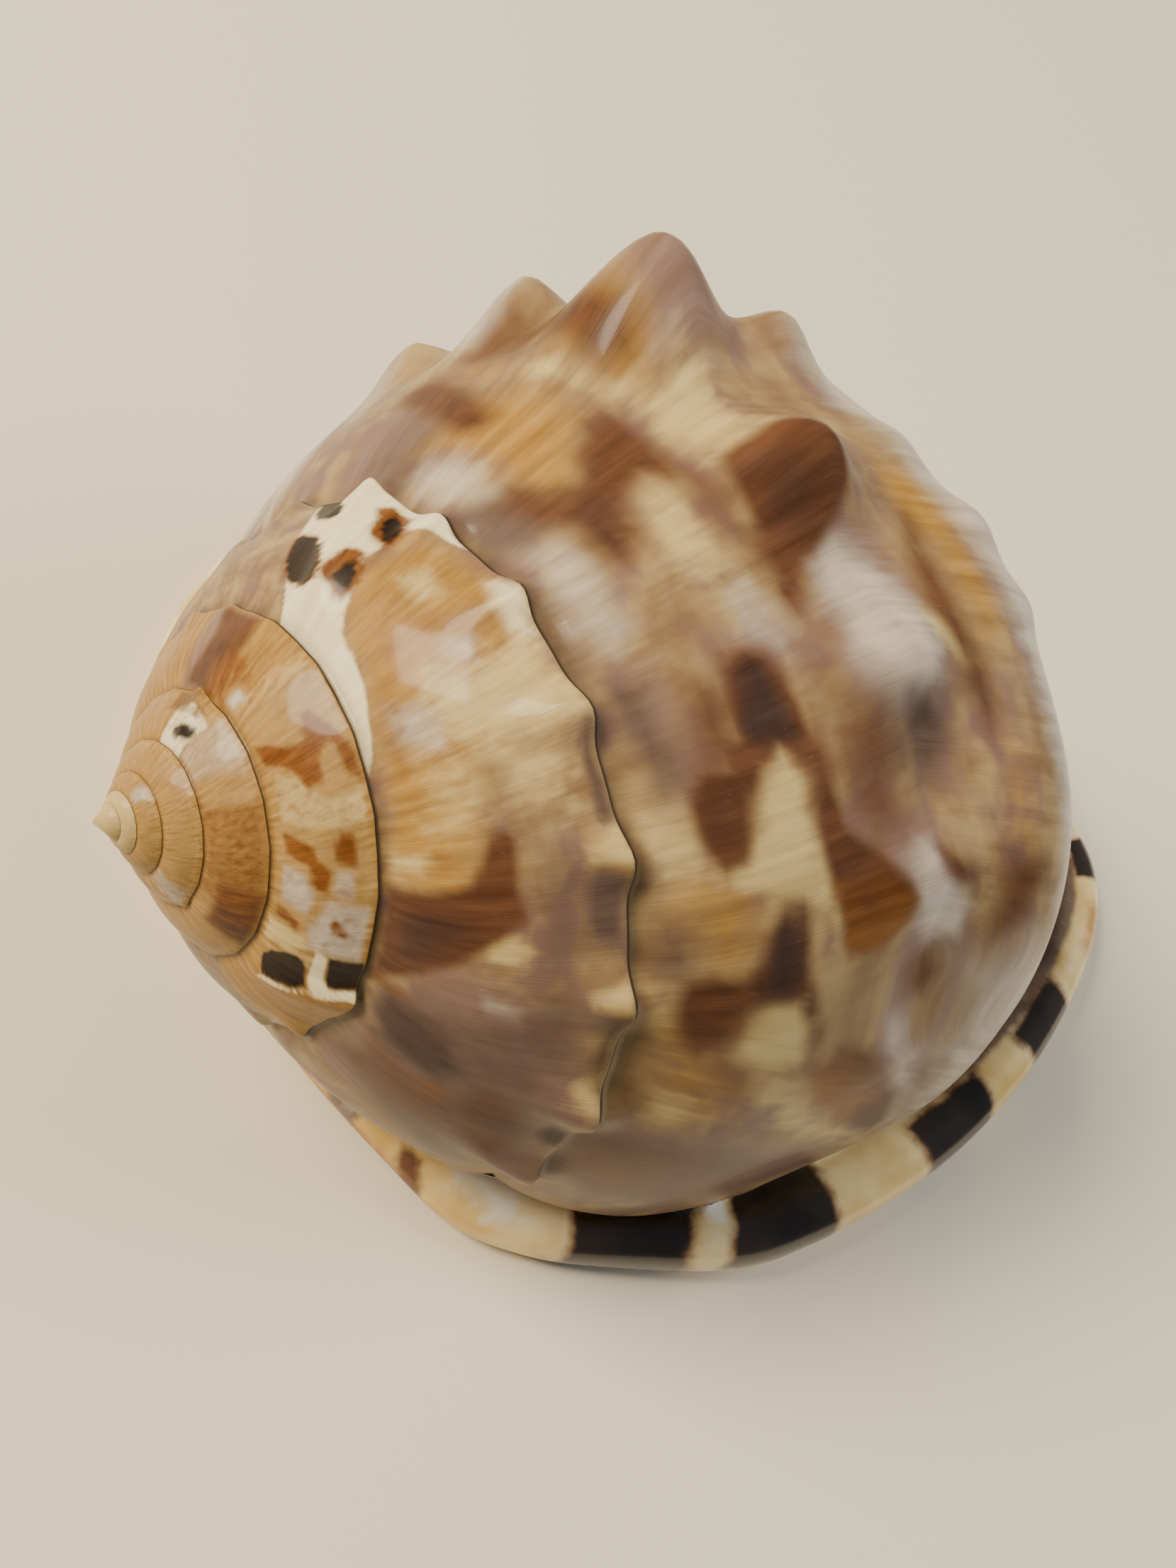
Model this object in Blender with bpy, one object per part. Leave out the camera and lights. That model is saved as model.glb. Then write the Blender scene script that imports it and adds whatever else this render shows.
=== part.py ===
"""Flame helmet shell, lying on its outer lip and parietal shield.

The apex points toward -X, the siphonal end toward +X and the outer lip toward
-Y. The shell coils clockwise seen from the apex. All stations are in
millimetres and are turned into metres when a point is placed.
"""
import bmesh
import bpy
import numpy as np
from mathutils import Matrix, Vector

MM = 0.001

# Shift from the foot of the apex to the middle of the footprint.
SHIFT_X = -60.37
SHIFT_Y = 3.76

# Coiling axis: it starts at the apex and drops toward the siphonal end.
APEX_HEIGHT = 41.8
AXIS_DROP = 17.5
AXIS_LENGTH = 118.0
LIP_LENGTH = 122.0

# Growth is measured in degrees round the axis from the top of the back, toward
# the outer lip. The lip stands at LIP_ANGLE, one turn after LIP_ANGLE - TURN.
TURN = 360.0
LIP_ANGLE = 112.0
SPIRE_TURNS = 5
STEP = 6.0

# The apex stands a little above the first turn, whose arch swells over its
# first degrees of growth.
APEX_TIP = 0.1
BULGE_START = 200.0

# Whorl growth per turn in the spire, as natural logarithms.
RADIUS_GROWTH = 0.495
HEIGHT_GROWTH = 0.445

# Last turn of the suture: growth angle, radius, depth along the axis.
SUTURE = (
    (-410, 15.8, 12.0),
    (-230, 19.6, 15.4),
    (-140, 21.6, 17.9),
    (-80, 22.9, 20.5),
    (-50, 24.2, 21.8),
    (-20, 26.3, 22.9),
    (10, 29.2, 23.9),
    (40, 31.8, 25.5),
    (70, 33.9, 27.6),
    (112, 36.0, 30.8),
)

# Shoulder of the last whorl: growth angle, radius, depth along the axis.
SHOULDER = (
    (-248, 36.0, 30.8),
    (-215, 33.4, 32.1),
    (-180, 31.6, 33.4),
    (-150, 32.6, 35.0),
    (-120, 34.6, 37.1),
    (-95, 36.9, 38.9),
    (-72, 38.2, 40.8),
    (-56, 39.2, 42.4),
    (-34, 39.0, 44.6),
    (-11, 38.2, 46.6),
    (14, 37.6, 50.3),
    (40, 39.2, 53.0),
    (68, 40.2, 57.0),
    (90, 43.2, 59.2),
    (112, 48.2, 60.5),
)

# Side of the last whorl below the shoulder: share of the way to the siphonal
# end, and radius there as a share of the shoulder radius.
SIDE_BACK = (
    (0, 1.0),
    (0.06, 1.0),
    (0.22, 0.95),
    (0.5, 0.69),
    (0.72, 0.44),
    (0.88, 0.28),
    (0.95, 0.24),
    (1, 0.13),
)
SIDE_LIP = ((0, 1.0), (0.31, 0.96), (0.65, 0.80), (0.9, 0.55), (1, 0.40))
FLARE_START = 10.0
LIP_LEAN = 16.0

# Swelling of the side below the shoulder: growth angle and rise. It is widest
# at one share of the way down.
BELLY = (
    (-70, 0.0),
    (-50, 0.6),
    (-30, 4.4),
    (-8, 5.3),
    (10, 7.4),
    (30, 7.6),
    (60, 5.6),
    (90, 2.4),
    (106, 0.0),
)
BELLY_SHARE = 0.24
BELLY_WIDTH = 0.2

# Knobs of the last whorl: growth angle, share of the way down the side, rise,
# half width round the whorl in degrees, half width down the side as a share.
KNOBS = (
    (-113, 0.0, 1.2, 5.5, 0.06),
    (-95, 0.0, 2.2, 5.5, 0.06),
    (-77, 0.0, 3.4, 5.5, 0.06),
    (-56.5, 0.0, 4.8, 4.6, 0.07),
    (-38, 0.0, 9.8, 8.4, 0.085),
    (-11, 0.0, 5.2, 7.0, 0.07),
    (14, 0.0, 3.4, 7.0, 0.07),
    (40, 0.0, 2.0, 7.0, 0.06),
    (68, 0.0, 1.4, 7.0, 0.06),
    (-51, 0.15, 1.4, 4.5, 0.05),
    (-31.5, 0.15, 4.2, 5.0, 0.05),
    (-14, 0.20, 1.2, 4.5, 0.05),
    (-2, 0.26, 1.4, 4.5, 0.05),
    (9, 0.32, 1.2, 4.5, 0.05),
)

# Small pointed knobs that crown a whorl's lower edge: growth angle between
# them, angle of one of them, and how they swell and fade along the coil as a
# share of the radius.
CROWN_STEP = 20.4
CROWN_START = -6.1
CROWN_SHARPNESS = 3.0
CROWN_RISE = (
    (-540, 0.01),
    (-500, 0.035),
    (-428, 0.035),
    (-400, 0.008),
    (-268, 0.008),
    (-246, 0.045),
    (112, 0.045),
)
CROWN_BELOW = 0.15
CROWN_ABOVE = 0.6

# Old outer lips left as ridges on the spire: growth angle at the whorl's lower
# edge. Each leans forward toward its upper suture.
VARICES = (-404.0, -640.0, -880.0, -1121.0, -1340.0, -1580.0)
VARIX_RISE = 0.045
VARIX_WIDTH = 7.0
VARIX_LEAN = 16.0
VARIX_FADE = 0.2

# Rows across the ramp and down the side, arch of the ramp as a share of its
# length, share of the ramp that carries a shoulder knob's flank, lowest height
# of the side, and the growth angle where the side starts to lean.
RAMP_ROWS = 4
SIDE_ROWS = 16
RAMP_BULGE = 0.08
RAMP_KNOB_SPREAD = 0.30
BELLY_FLOOR = 3.2
LEAN_START = 20.0

# Outline of lip and shield on the resting plane: x from the apex, y, rim
# thickness.
OUTLINE = (
    (9.5, 11.8, 3.4),
    (11.6, 20.5, 3.4),
    (15.5, 27.6, 3.4),
    (21.8, 36.0, 3.4),
    (30.5, 42.0, 3.4),
    (42.0, 45.2, 3.4),
    (57.0, 44.4, 3.4),
    (72.0, 38.6, 3.4),
    (86.0, 29.0, 3.6),
    (98.0, 18.6, 4.2),
    (108.0, 8.6, 5.0),
    (114.6, 0.0, 6.0),
    (117.0, -7.4, 6.6),
    (119.2, -14.2, 7.0),
    (120.8, -20.8, 7.4),
    (119.8, -27.2, 7.8),
    (115.4, -33.8, 8.2),
    (107.2, -40.2, 8.4),
    (96.6, -46.0, 8.8),
    (84.7, -50.2, 9.2),
    (72.9, -52.3, 9.6),
    (61.8, -52.9, 9.6),
    (52.6, -51.8, 9.2),
    (39.5, -46.3, 7.4),
    (32.3, -42.1, 5.6),
    (26.8, -36.8, 4.4),
    (22.1, -27.4, 4.0),
    (18.1, -18.1, 3.8),
    (15.3, -9.7, 3.6),
    (11.0, 0.0, 3.4),
)
OUTLINE_POINTS = 72

# Section of the rim: inset, height, and height as a share of the thickness.
# Insets widen with the thickness. The plate closes on a middle point above and
# one below.
RIM_SPREAD = 0.55
RIM_SPREAD_GROWTH = 0.05
RIM_INSETS = (
    (12.0, 1.0, 0.0),
    (8.0, 0.0, 0.0),
    (2.4, 0.0, 0.0),
    (0.7, 0.0, 0.2),
    (0.0, 0.0, 0.48),
    (0.5, 0.0, 0.76),
    (1.9, 0.0, 0.94),
    (4.0, 0.0, 1.0),
    (6.2, 0.0, 0.94),
    (8.2, 0.0, 0.8),
    (12.0, 0.0, 1.0),
)
PLATE_CENTRE = (68.0, -8.0)
PLATE_TOP = 13.0
PLATE_BOTTOM = 2.0

# Siphonal canal, bent back over the body: x from the apex, y, z, radius.
CANAL = (
    (94.0, -12.0, 12.5, 10.5),
    (101.5, -10.8, 11.2, 9.8),
    (106.6, -9.8, 12.6, 8.2),
    (107.4, -9.4, 15.6, 6.8),
    (106.4, -9.0, 18.2, 5.4),
    (105.8, -8.8, 19.2, 3.6),
)
CANAL_GROOVE = (
    (104.0, -19.5, -5.0, 3.4),
    (111.5, -15.8, -1.5, 4.0),
    (117.4, -13.0, 2.8, 4.4),
    (118.2, -11.6, 8.0, 4.4),
    (115.4, -10.4, 12.8, 3.8),
    (113.2, -9.8, 17.0, 3.6),
    (110.6, -9.0, 22.5, 3.1),
)
TUBE_POINTS = 14

# Aperture at the resting plane: x from the apex, y of the lip side, y of the
# columella side.
MOUTH = (
    (38, -36.0, -31.0),
    (46, -39.6, -29.6),
    (56, -41.2, -29.2),
    (68, -41.4, -28.8),
    (80, -39.6, -27.2),
    (92, -35.2, -23.6),
    (103, -29.0, -18.4),
    (112, -22.0, -13.0),
    (116, -17.4, -11.6),
)
# Inside of the last whorl above it: height, shift of the lip side, shift of
# the columella side, shift of the rear end, shift of the siphonal end.
CAVITY_LEVELS = (
    (-2.0, 0.0, 0.0, 0.0, 0.0),
    (5.0, 0.0, 0.0, 0.0, -2.0),
    (12.0, -0.6, 1.5, 5.0, -20.0),
    (22.0, 1.5, 3.0, 12.0, -30.0),
    (32.0, 5.0, 7.0, 18.0, -40.0),
    (41.0, 12.0, 13.0, 25.0, -50.0),
)
MOUTH_POINTS = 12

# Teeth inside the lip and folds on the columella: count, first and last x from
# the apex, side of the mouth, half length, half width, half height.
TEETH = ((10, 46.0, 104.0, 1, 3.0, 1.7, 2.0), (7, 60.0, 102.0, 2, 2.6, 1.4, 1.6))
TOOTH_HEIGHT = 3.2
TOOTH_SEGMENTS = 8
TOOTH_RINGS = 6

# Plain brown gloss, and the angle above which an edge stays sharp.
COLOUR = (0.42, 0.25, 0.13, 1.0)
ROUGHNESS = 0.3
SHARP_ANGLE = 50.0


def smooth(start, end, value):
    """Rise from 0 to 1 between start and end without a corner."""
    t = min(max((value - start) / (end - start), 0.0), 1.0)
    return t * t * (3.0 - 2.0 * t)


def through(stations, column, x):
    """Follow one column of the stations as a curve with no overshoot."""
    xs = [row[0] for row in stations]
    ys = [row[column] for row in stations]
    x = min(max(x, xs[0]), xs[-1])
    rise = [(ys[k + 1] - ys[k]) / (xs[k + 1] - xs[k]) for k in range(len(xs) - 1)]
    slope = [rise[0]]
    for k in range(1, len(xs) - 1):
        same = rise[k - 1] * rise[k] > 0
        slope.append(2 * rise[k - 1] * rise[k] / (rise[k - 1] + rise[k]) if same else 0.0)
    slope.append(rise[-1])
    k = 0
    while k < len(xs) - 2 and x > xs[k + 1]:
        k += 1
    width = xs[k + 1] - xs[k]
    t = (x - xs[k]) / width
    start = (2 * t ** 3 - 3 * t ** 2 + 1) * ys[k] + (t ** 3 - 2 * t ** 2 + t) * width * slope[k]
    return start + (3 * t ** 2 - 2 * t ** 3) * ys[k + 1] + (t ** 3 - t ** 2) * width * slope[k + 1]


def bump(distance, half_width):
    """Round hill that is 1 at its top and has faded at twice half_width."""
    return float(np.exp(-((distance / half_width) ** 2)))


def suture(angle):
    """Radius and depth of the line where the next whorl joins."""
    first = SUTURE[0][0]
    back = min(angle - first, 0.0) / TURN
    radius = through(SUTURE, 1, angle) * np.exp(RADIUS_GROWTH * back)
    depth = through(SUTURE, 2, angle) * np.exp(HEIGHT_GROWTH * back)
    return radius, depth


def crown(angle):
    """Rise of the pointed knobs on a suture, as a share of its radius."""
    phase = (angle - CROWN_START) / CROWN_STEP
    tip = (0.5 + 0.5 * np.cos(2 * np.pi * phase)) ** CROWN_SHARPNESS
    return through(CROWN_RISE, 1, angle) * tip


def place(angle, radius, depth):
    """Turn growth angle, radius and depth into a point, in metres."""
    drop = np.radians(AXIS_DROP)
    turn = np.radians(angle)
    up = radius * np.cos(turn)
    x = depth * np.cos(drop) + up * np.sin(drop)
    y = -radius * np.sin(turn)
    z = APEX_HEIGHT - depth * np.sin(drop) + up * np.cos(drop)
    return Vector(((x + SHIFT_X) * MM, (y + SHIFT_Y) * MM, z * MM))


def ridge(angle, share, radius):
    """Extra radius that the old lips give at this place on the spire."""
    here = angle - VARIX_LEAN * (1.0 - share)
    fade = smooth(0.0, VARIX_FADE, share)
    return radius * VARIX_RISE * fade * sum(bump(here - at, VARIX_WIDTH) for at in VARICES)


def knob_rise(angle, share):
    """Extra radius that the knobs give on the last whorl."""
    total = 0.0
    for at, down, rise, round_width, down_width in KNOBS:
        total += rise * bump(angle - at, round_width) * bump(share - down, down_width)
    return total


def ramp_point(angle, share):
    """Point between a whorl's upper suture (0) and its lower edge (1)."""
    r0, h0 = suture(angle)
    if angle <= LIP_ANGLE - TURN:
        r1, h1 = suture(angle + TURN)
    else:
        r1, h1 = through(SHOULDER, 1, angle), through(SHOULDER, 2, angle)
    length = float(np.hypot(r1 - r0, h1 - h0))
    first = LIP_ANGLE - TURN * (SPIRE_TURNS + 1)
    arch = RAMP_BULGE * length * np.sin(np.pi * share) * smooth(first, first + BULGE_START, angle)
    radius = r0 + (r1 - r0) * share + arch * (h1 - h0) / length
    depth = h0 + (h1 - h0) * share - arch * (r1 - r0) / length
    radius += ridge(angle, share, r1)
    radius += r0 * crown(angle) * (1.0 - smooth(0.0, CROWN_BELOW, share))
    if angle <= LIP_ANGLE - TURN:
        radius += r1 * crown(angle + TURN) * smooth(CROWN_ABOVE, 1.0, share)
    if angle > LIP_ANGLE - TURN:
        radius += knob_rise(angle, RAMP_KNOB_SPREAD * (share - 1.0))
    return place(angle, radius, depth)


def side_point(angle, share):
    """Point between the shoulder (0) and the siphonal end (1)."""
    r0, h0 = through(SHOULDER, 1, angle), through(SHOULDER, 2, angle)
    flare = smooth(FLARE_START, LIP_ANGLE, angle)
    shape = (1 - flare) * through(SIDE_BACK, 1, share) + flare * through(SIDE_LIP, 1, share)
    lean = LIP_LEAN * share * smooth(LEAN_START, LIP_ANGLE, angle)
    radius = r0 * shape + knob_rise(angle, share)
    swell = bump(share - BELLY_SHARE, BELLY_WIDTH) - bump(BELLY_SHARE, BELLY_WIDTH)
    radius += through(BELLY, 1, angle) * max(swell, 0.0)
    reach = AXIS_LENGTH + (LIP_LENGTH - AXIS_LENGTH) * flare
    point = place(angle - lean, radius, h0 + (reach - h0) * share)
    point.z = max(point.z, BELLY_FLOOR * MM)
    return point


def spiral_grid():
    """Vertices of the coiled skin, one column for each growth step."""
    first = LIP_ANGLE - TURN * (SPIRE_TURNS + 1)
    per_turn = int(round(TURN / STEP))
    count = per_turn * (SPIRE_TURNS + 1)
    points = []
    columns = []
    for i in range(count + 1):
        angle = first + STEP * i
        column = []
        for j in range(RAMP_ROWS + 1):
            if j == 0 and i >= per_turn:
                column.append(columns[i - per_turn][RAMP_ROWS])
                continue
            column.append(len(points))
            points.append(ramp_point(angle, j / RAMP_ROWS))
        if i >= count - per_turn:
            for j in range(1, SIDE_ROWS + 1):
                column.append(len(points))
                points.append(side_point(angle, j / SIDE_ROWS))
        columns.append(column)
    return points, columns


def build_skin():
    """Close the coiled skin at the apex, the siphonal end and the lip step."""
    points, columns = spiral_grid()
    per_turn = int(round(TURN / STEP))
    apex = len(points)
    points.append(place(0.0, 0.0, -APEX_TIP))
    tip = len(points)
    points.append(place(0.0, 0.0, AXIS_LENGTH))
    faces = []
    for left, right in zip(columns, columns[1:]):
        for j in range(min(len(left), len(right)) - 1):
            faces.append((left[j], left[j + 1], right[j + 1], right[j]))
    mouth = [column[0] for column in columns[:per_turn + 1]] + columns[0][RAMP_ROWS - 1:0:-1]
    for a, b in zip(mouth, mouth[1:] + mouth[:1]):
        faces.append((apex, a, b))
    start = columns[-1 - per_turn]
    end = columns[-1]
    for left, right in zip(columns[-1 - per_turn:], columns[-per_turn:]):
        faces.append((tip, left[-1], right[-1]))
    for j in range(1, RAMP_ROWS):
        faces.append((start[RAMP_ROWS], end[j], end[j + 1]))
    for j in range(RAMP_ROWS, RAMP_ROWS + SIDE_ROWS):
        if start[j] != end[j]:
            faces.append((start[j], end[j], end[j + 1], start[j + 1]))
    faces.append((start[-1], end[-1], tip))
    return points, faces


def outline(share):
    """Point and rim thickness at a share of the way round the outline."""
    count = len(OUTLINE)
    at = share * count
    k = int(at) % count
    t = at - int(at)
    rows = [OUTLINE[(k + n) % count] for n in (-1, 0, 1, 2)]
    weights = (
        -0.5 * t + t * t - 0.5 * t ** 3,
        1 - 2.5 * t * t + 1.5 * t ** 3,
        0.5 * t + 2 * t * t - 1.5 * t ** 3,
        -0.5 * t * t + 0.5 * t ** 3,
    )
    return tuple(sum(w * row[axis] for w, row in zip(weights, rows)) for axis in range(3))


def build_plate():
    """Rolled lip rim and parietal shield as one plate on the resting plane."""
    points = []
    rings = []
    for inset, level, share in RIM_INSETS:
        ring = []
        for k in range(OUTLINE_POINTS):
            x, y, thick = outline(k / OUTLINE_POINTS)
            before = outline((k - 0.5) / OUTLINE_POINTS)
            after = outline((k + 0.5) / OUTLINE_POINTS)
            along = Vector((after[0] - before[0], after[1] - before[1], 0.0)).normalized()
            inward = Vector((along.y, -along.x, 0.0))
            scale = RIM_SPREAD + RIM_SPREAD_GROWTH * thick
            spot = Vector((x, y, 0.0)) + inward * inset * scale
            ring.append(len(points))
            height = level + share * thick
            points.append(Vector(((spot.x + SHIFT_X) * MM, (spot.y + SHIFT_Y) * MM, height * MM)))
        rings.append(ring)
    faces = []
    for low, high in zip(rings, rings[1:]):
        for k in range(OUTLINE_POINTS):
            n = (k + 1) % OUTLINE_POINTS
            faces.append((low[k], low[n], high[n], high[k]))
    cx, cy = PLATE_CENTRE
    for ring, level in ((rings[0], PLATE_BOTTOM), (rings[-1], PLATE_TOP)):
        middle = len(points)
        points.append(Vector(((cx + SHIFT_X) * MM, (cy + SHIFT_Y) * MM, level * MM)))
        for k in range(OUTLINE_POINTS):
            faces.append((middle, ring[k], ring[(k + 1) % OUTLINE_POINTS]))
    return points, faces


def build_tube(stations):
    """Closed round tube along a bent path with a radius at each station."""
    path = [Vector(row[:3]) for row in stations]
    points = []
    rings = []
    for k, spot in enumerate(path):
        ahead = path[min(k + 1, len(path) - 1)] - path[max(k - 1, 0)]
        across = Vector((0.0, 1.0, 0.0))
        across = (across - ahead.normalized() * across.dot(ahead.normalized())).normalized()
        other = ahead.normalized().cross(across)
        ring = []
        for n in range(TUBE_POINTS):
            turn = 2 * np.pi * n / TUBE_POINTS
            edge = spot + (across * np.cos(turn) + other * np.sin(turn)) * stations[k][3]
            ring.append(len(points))
            points.append(Vector(((edge.x + SHIFT_X) * MM, (edge.y + SHIFT_Y) * MM, edge.z * MM)))
        rings.append(ring)
    faces = []
    for low, high in zip(rings, rings[1:]):
        for n in range(TUBE_POINTS):
            m = (n + 1) % TUBE_POINTS
            faces.append((low[n], low[m], high[m], high[n]))
    faces.append(tuple(rings[0]))
    faces.append(tuple(rings[-1]))
    return points, faces


def build_cavity():
    """Aperture slit and the hollow of the last whorl over it."""
    points = []
    rings = []
    rear, front = MOUTH[0][0], MOUTH[-1][0]
    last = MOUTH_POINTS
    for level, lip_shift, wall_shift, rear_shift, front_shift in CAVITY_LEVELS:
        start = rear + rear_shift
        end = front + front_shift
        ring = []
        sides = [(1, lip_shift, k) for k in range(last + 1)]
        sides += [(2, wall_shift, k) for k in range(last, -1, -1)]
        for column, shift, k in sides:
            x = start + (end - start) * k / last
            y = through(MOUTH, column, x) + shift
            ring.append(len(points))
            points.append(Vector(((x + SHIFT_X) * MM, (y + SHIFT_Y) * MM, level * MM)))
        rings.append(ring)
    faces = []
    count = len(rings[0])
    for low, high in zip(rings, rings[1:]):
        for k in range(count):
            n = (k + 1) % count
            faces.append((low[k], low[n], high[n], high[k]))
    for ring in (rings[0], rings[-1]):
        for k in range(last):
            faces.append((ring[k], ring[k + 1], ring[count - 2 - k], ring[count - 1 - k]))
    return points, faces


def build_teeth():
    """Rounded teeth along the lip and folds along the columella."""
    work = bmesh.new()
    for count, first, final, column, length, width, height in TEETH:
        for k in range(count):
            x = first + (final - first) * k / (count - 1)
            y = through(MOUTH, column, x)
            slope = through(MOUTH, column, x + 1.0) - through(MOUTH, column, x - 1.0)
            made = bmesh.ops.create_uvsphere(
                work, u_segments=TOOTH_SEGMENTS, v_segments=TOOTH_RINGS, radius=MM
            )
            turn = Matrix.Rotation(float(np.arctan2(slope, 2.0)), 4, "Z")
            spot = Vector(((x + SHIFT_X) * MM, (y + SHIFT_Y) * MM, TOOTH_HEIGHT * MM))
            shape = Matrix.Diagonal((width, length, height, 1.0))
            bmesh.ops.transform(work, matrix=Matrix.Translation(spot) @ turn @ shape, verts=made["verts"])
    points = [vert.co.copy() for vert in work.verts]
    work.verts.index_update()
    faces = [tuple(vert.index for vert in face.verts) for face in work.faces]
    work.free()
    return points, faces


def make_object(name, points, faces, helper=False):
    """Make a mesh object with every face turned outward."""
    mesh = bpy.data.meshes.new(name)
    mesh.from_pydata([tuple(p) for p in points], [], faces)
    work = bmesh.new()
    work.from_mesh(mesh)
    bmesh.ops.recalc_face_normals(work, faces=work.faces)
    work.to_mesh(mesh)
    work.free()
    thing = bpy.data.objects.new(name, mesh)
    bpy.context.scene.collection.objects.link(thing)
    if helper:
        thing.hide_render = True
        thing.display_type = "WIRE"
    return thing


def combine(target, other, operation):
    """Fuse another solid with the target, or cut it away."""
    cut = target.modifiers.new(other.name, "BOOLEAN")
    cut.operation = operation
    cut.solver = "MANIFOLD"
    cut.object = other


def finish(thing):
    """Give the glossy shell material and smooth shading."""
    material = bpy.data.materials.new("shell")
    material.use_nodes = True
    shader = material.node_tree.nodes["Principled BSDF"]
    shader.inputs["Base Color"].default_value = COLOUR
    shader.inputs["Roughness"].default_value = ROUGHNESS
    shader.inputs["Metallic"].default_value = 0.0
    thing.data.materials.append(material)
    thing.data.shade_smooth()
    thing.data.set_sharp_from_angle(angle=float(np.radians(SHARP_ANGLE)))


def main():
    """Build the shell from its coiled skin, lip, shield and canal."""
    for thing in list(bpy.data.objects):
        bpy.data.objects.remove(thing, do_unlink=True)
    shell = make_object("shell", *build_skin())
    finish(shell)
    plate = make_object("lip_and_shield", *build_plate(), helper=True)
    canal = make_object("canal", *build_tube(CANAL), helper=True)
    groove = make_object("canal_groove", *build_tube(CANAL_GROOVE), helper=True)
    cavity = make_object("cavity", *build_cavity(), helper=True)
    combine(shell, plate, "UNION")
    combine(shell, canal, "UNION")
    combine(shell, groove, "DIFFERENCE")
    combine(shell, cavity, "DIFFERENCE")
    teeth = make_object("teeth", *build_teeth(), helper=True)
    combine(shell, teeth, "UNION")


main()
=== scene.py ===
"""Flame helmet shell resting on its outer lip and shield, on a plain pale table.

The shell is grown from one coiled skin, fused with the rolled lip, the shield and
the siphonal canal. Stations are in millimetres, growth angles in degrees.
"""
import logging
from dataclasses import dataclass, field
from enum import Enum

import bmesh
import bpy
import numpy as np
from mathutils import Matrix, Vector


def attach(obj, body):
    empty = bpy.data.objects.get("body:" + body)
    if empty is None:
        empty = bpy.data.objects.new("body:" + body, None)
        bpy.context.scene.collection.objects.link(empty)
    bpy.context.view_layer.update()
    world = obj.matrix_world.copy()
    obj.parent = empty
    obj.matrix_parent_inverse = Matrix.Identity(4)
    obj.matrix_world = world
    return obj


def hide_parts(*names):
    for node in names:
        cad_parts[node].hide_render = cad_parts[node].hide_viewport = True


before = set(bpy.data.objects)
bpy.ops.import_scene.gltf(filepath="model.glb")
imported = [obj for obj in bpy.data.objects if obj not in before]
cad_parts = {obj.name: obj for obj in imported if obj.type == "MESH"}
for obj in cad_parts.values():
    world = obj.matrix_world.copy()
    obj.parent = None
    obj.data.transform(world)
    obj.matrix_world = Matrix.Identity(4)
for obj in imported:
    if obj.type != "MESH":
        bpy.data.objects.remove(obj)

Array = np.ndarray
Triple = tuple[float, float, float]
Colour = Triple
Faces = list[tuple[int, ...]]
Growth = list[tuple[float, float]]
Outline = tuple[float, ...]
Socket = bpy.types.NodeSocket
LOG = logging.getLogger("flame_helmet")

MM = 0.001
TURN = 360.0
NODE = "shell"
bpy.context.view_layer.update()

# The apex stands this far from the frame's origin, in millimetres.
SHIFT_X = -60.37
SHIFT_Y = 3.76

# One share of the ramp or of the side, as degrees of growth of the same length.
RAMP_SPAN = 44.0
SIDE_SPAN = 115.0

# Points of the shell below this height stay where they rest, in metres.
RESTING_HEIGHT = 0.3 * MM


class Region(Enum):
    """Parts of the grown surface, as the face attribute names them."""

    SKIN = 1
    RIM = 2
    CANAL = 3
    GROOVE = 4
    HOLLOW = 5


class Pigment(Enum):
    """Kinds of colour in the shell, each with a field of its own."""

    GOLD = 0
    BROWN = 1
    # DUSK is the darkest brown of the shell, and also painted shade between knob tips.
    DUSK = 2
    LILAC = 3
    PALE = 4
    RUST = 5
    BAR = 6
    # SHADE is dark grey-brown of the shell, and also painted shade between knob tips, under a knob and
    # in hollows.
    SHADE = 7
    CREAM = 8
    IVORY = 9


@dataclass(frozen=True)
class Detail:
    """How finely the surfaces are divided.

    Fields:
        step: growth angle between columns, in degrees.
        ramp_rows: rows between a whorl's sutures.
        side_rows: rows between the shoulder and the siphonal end.
        around: points round the lip and shield.
        tube: points round the canal.
    """

    step: float
    ramp_rows: int
    side_rows: int
    around: int
    tube: int


FINE = Detail(step=1.25, ramp_rows=26, side_rows=84, around=480, tube=48)


@dataclass
class Solid:
    """A closed mesh in the making.

    Fields:
        points: places in metres, one row each.
        faces: corner indices of each face.
        growth: growth coordinates of each face's corners, in the same order.
        region: what the surface belongs to.
    """

    points: Array
    faces: Faces
    growth: Growth
    region: Region


def smoothstep(start: float, end: float, value: Array | float) -> Array:
    """Rise from 0 to 1 between start and end without a corner.

    Args:
        start: value where the rise begins.
        end: value where it ends.
        value: where it is read.

    Returns:
        The share risen.
    """
    t = np.clip((np.asarray(value, dtype=float) - start) / (end - start), 0.0, 1.0)
    return t * t * (3.0 - 2.0 * t)


def bump(distance: Array | float, half_width: float) -> Array:
    """Round hill that is 1 at its top.

    Args:
        distance: distance from the top.
        half_width: distance at which it has sunk to about a third.

    Returns:
        The height of the hill.
    """
    return np.exp(-((np.asarray(distance, dtype=float) / half_width) ** 2))


def wander(value: Array, scale: float, seed: int) -> Array:
    """Smooth random line between -1 and 1.

    Args:
        value: where it is read.
        scale: distance between its independent values.
        seed: number that picks the line.

    Returns:
        The line's height at each value.
    """
    at = np.asarray(value, dtype=float) / scale
    base = np.floor(at).astype(int)
    t = at - base
    t = t * t * (3.0 - 2.0 * t)
    count = 4096
    table = np.random.default_rng(seed).uniform(-1.0, 1.0, count)
    return table[base % count] * (1.0 - t) + table[(base + 1) % count] * t


def bend(before: Array, here: Array, ahead: Array, far: Array, t: Array | float) -> Array:
    """Point of the smooth curve through four stations, between the middle two.

    Args:
        before: station before the stretch.
        here: station where it starts.
        ahead: station where it ends.
        far: station after it.
        t: share of the stretch.

    Returns:
        The point's values.
    """
    turn = 2 * before - 5 * here + 4 * ahead - far
    twist = -before + 3 * here - 3 * ahead + far
    return here + 0.5 * t * ((ahead - before) + t * (turn + t * twist))


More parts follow.
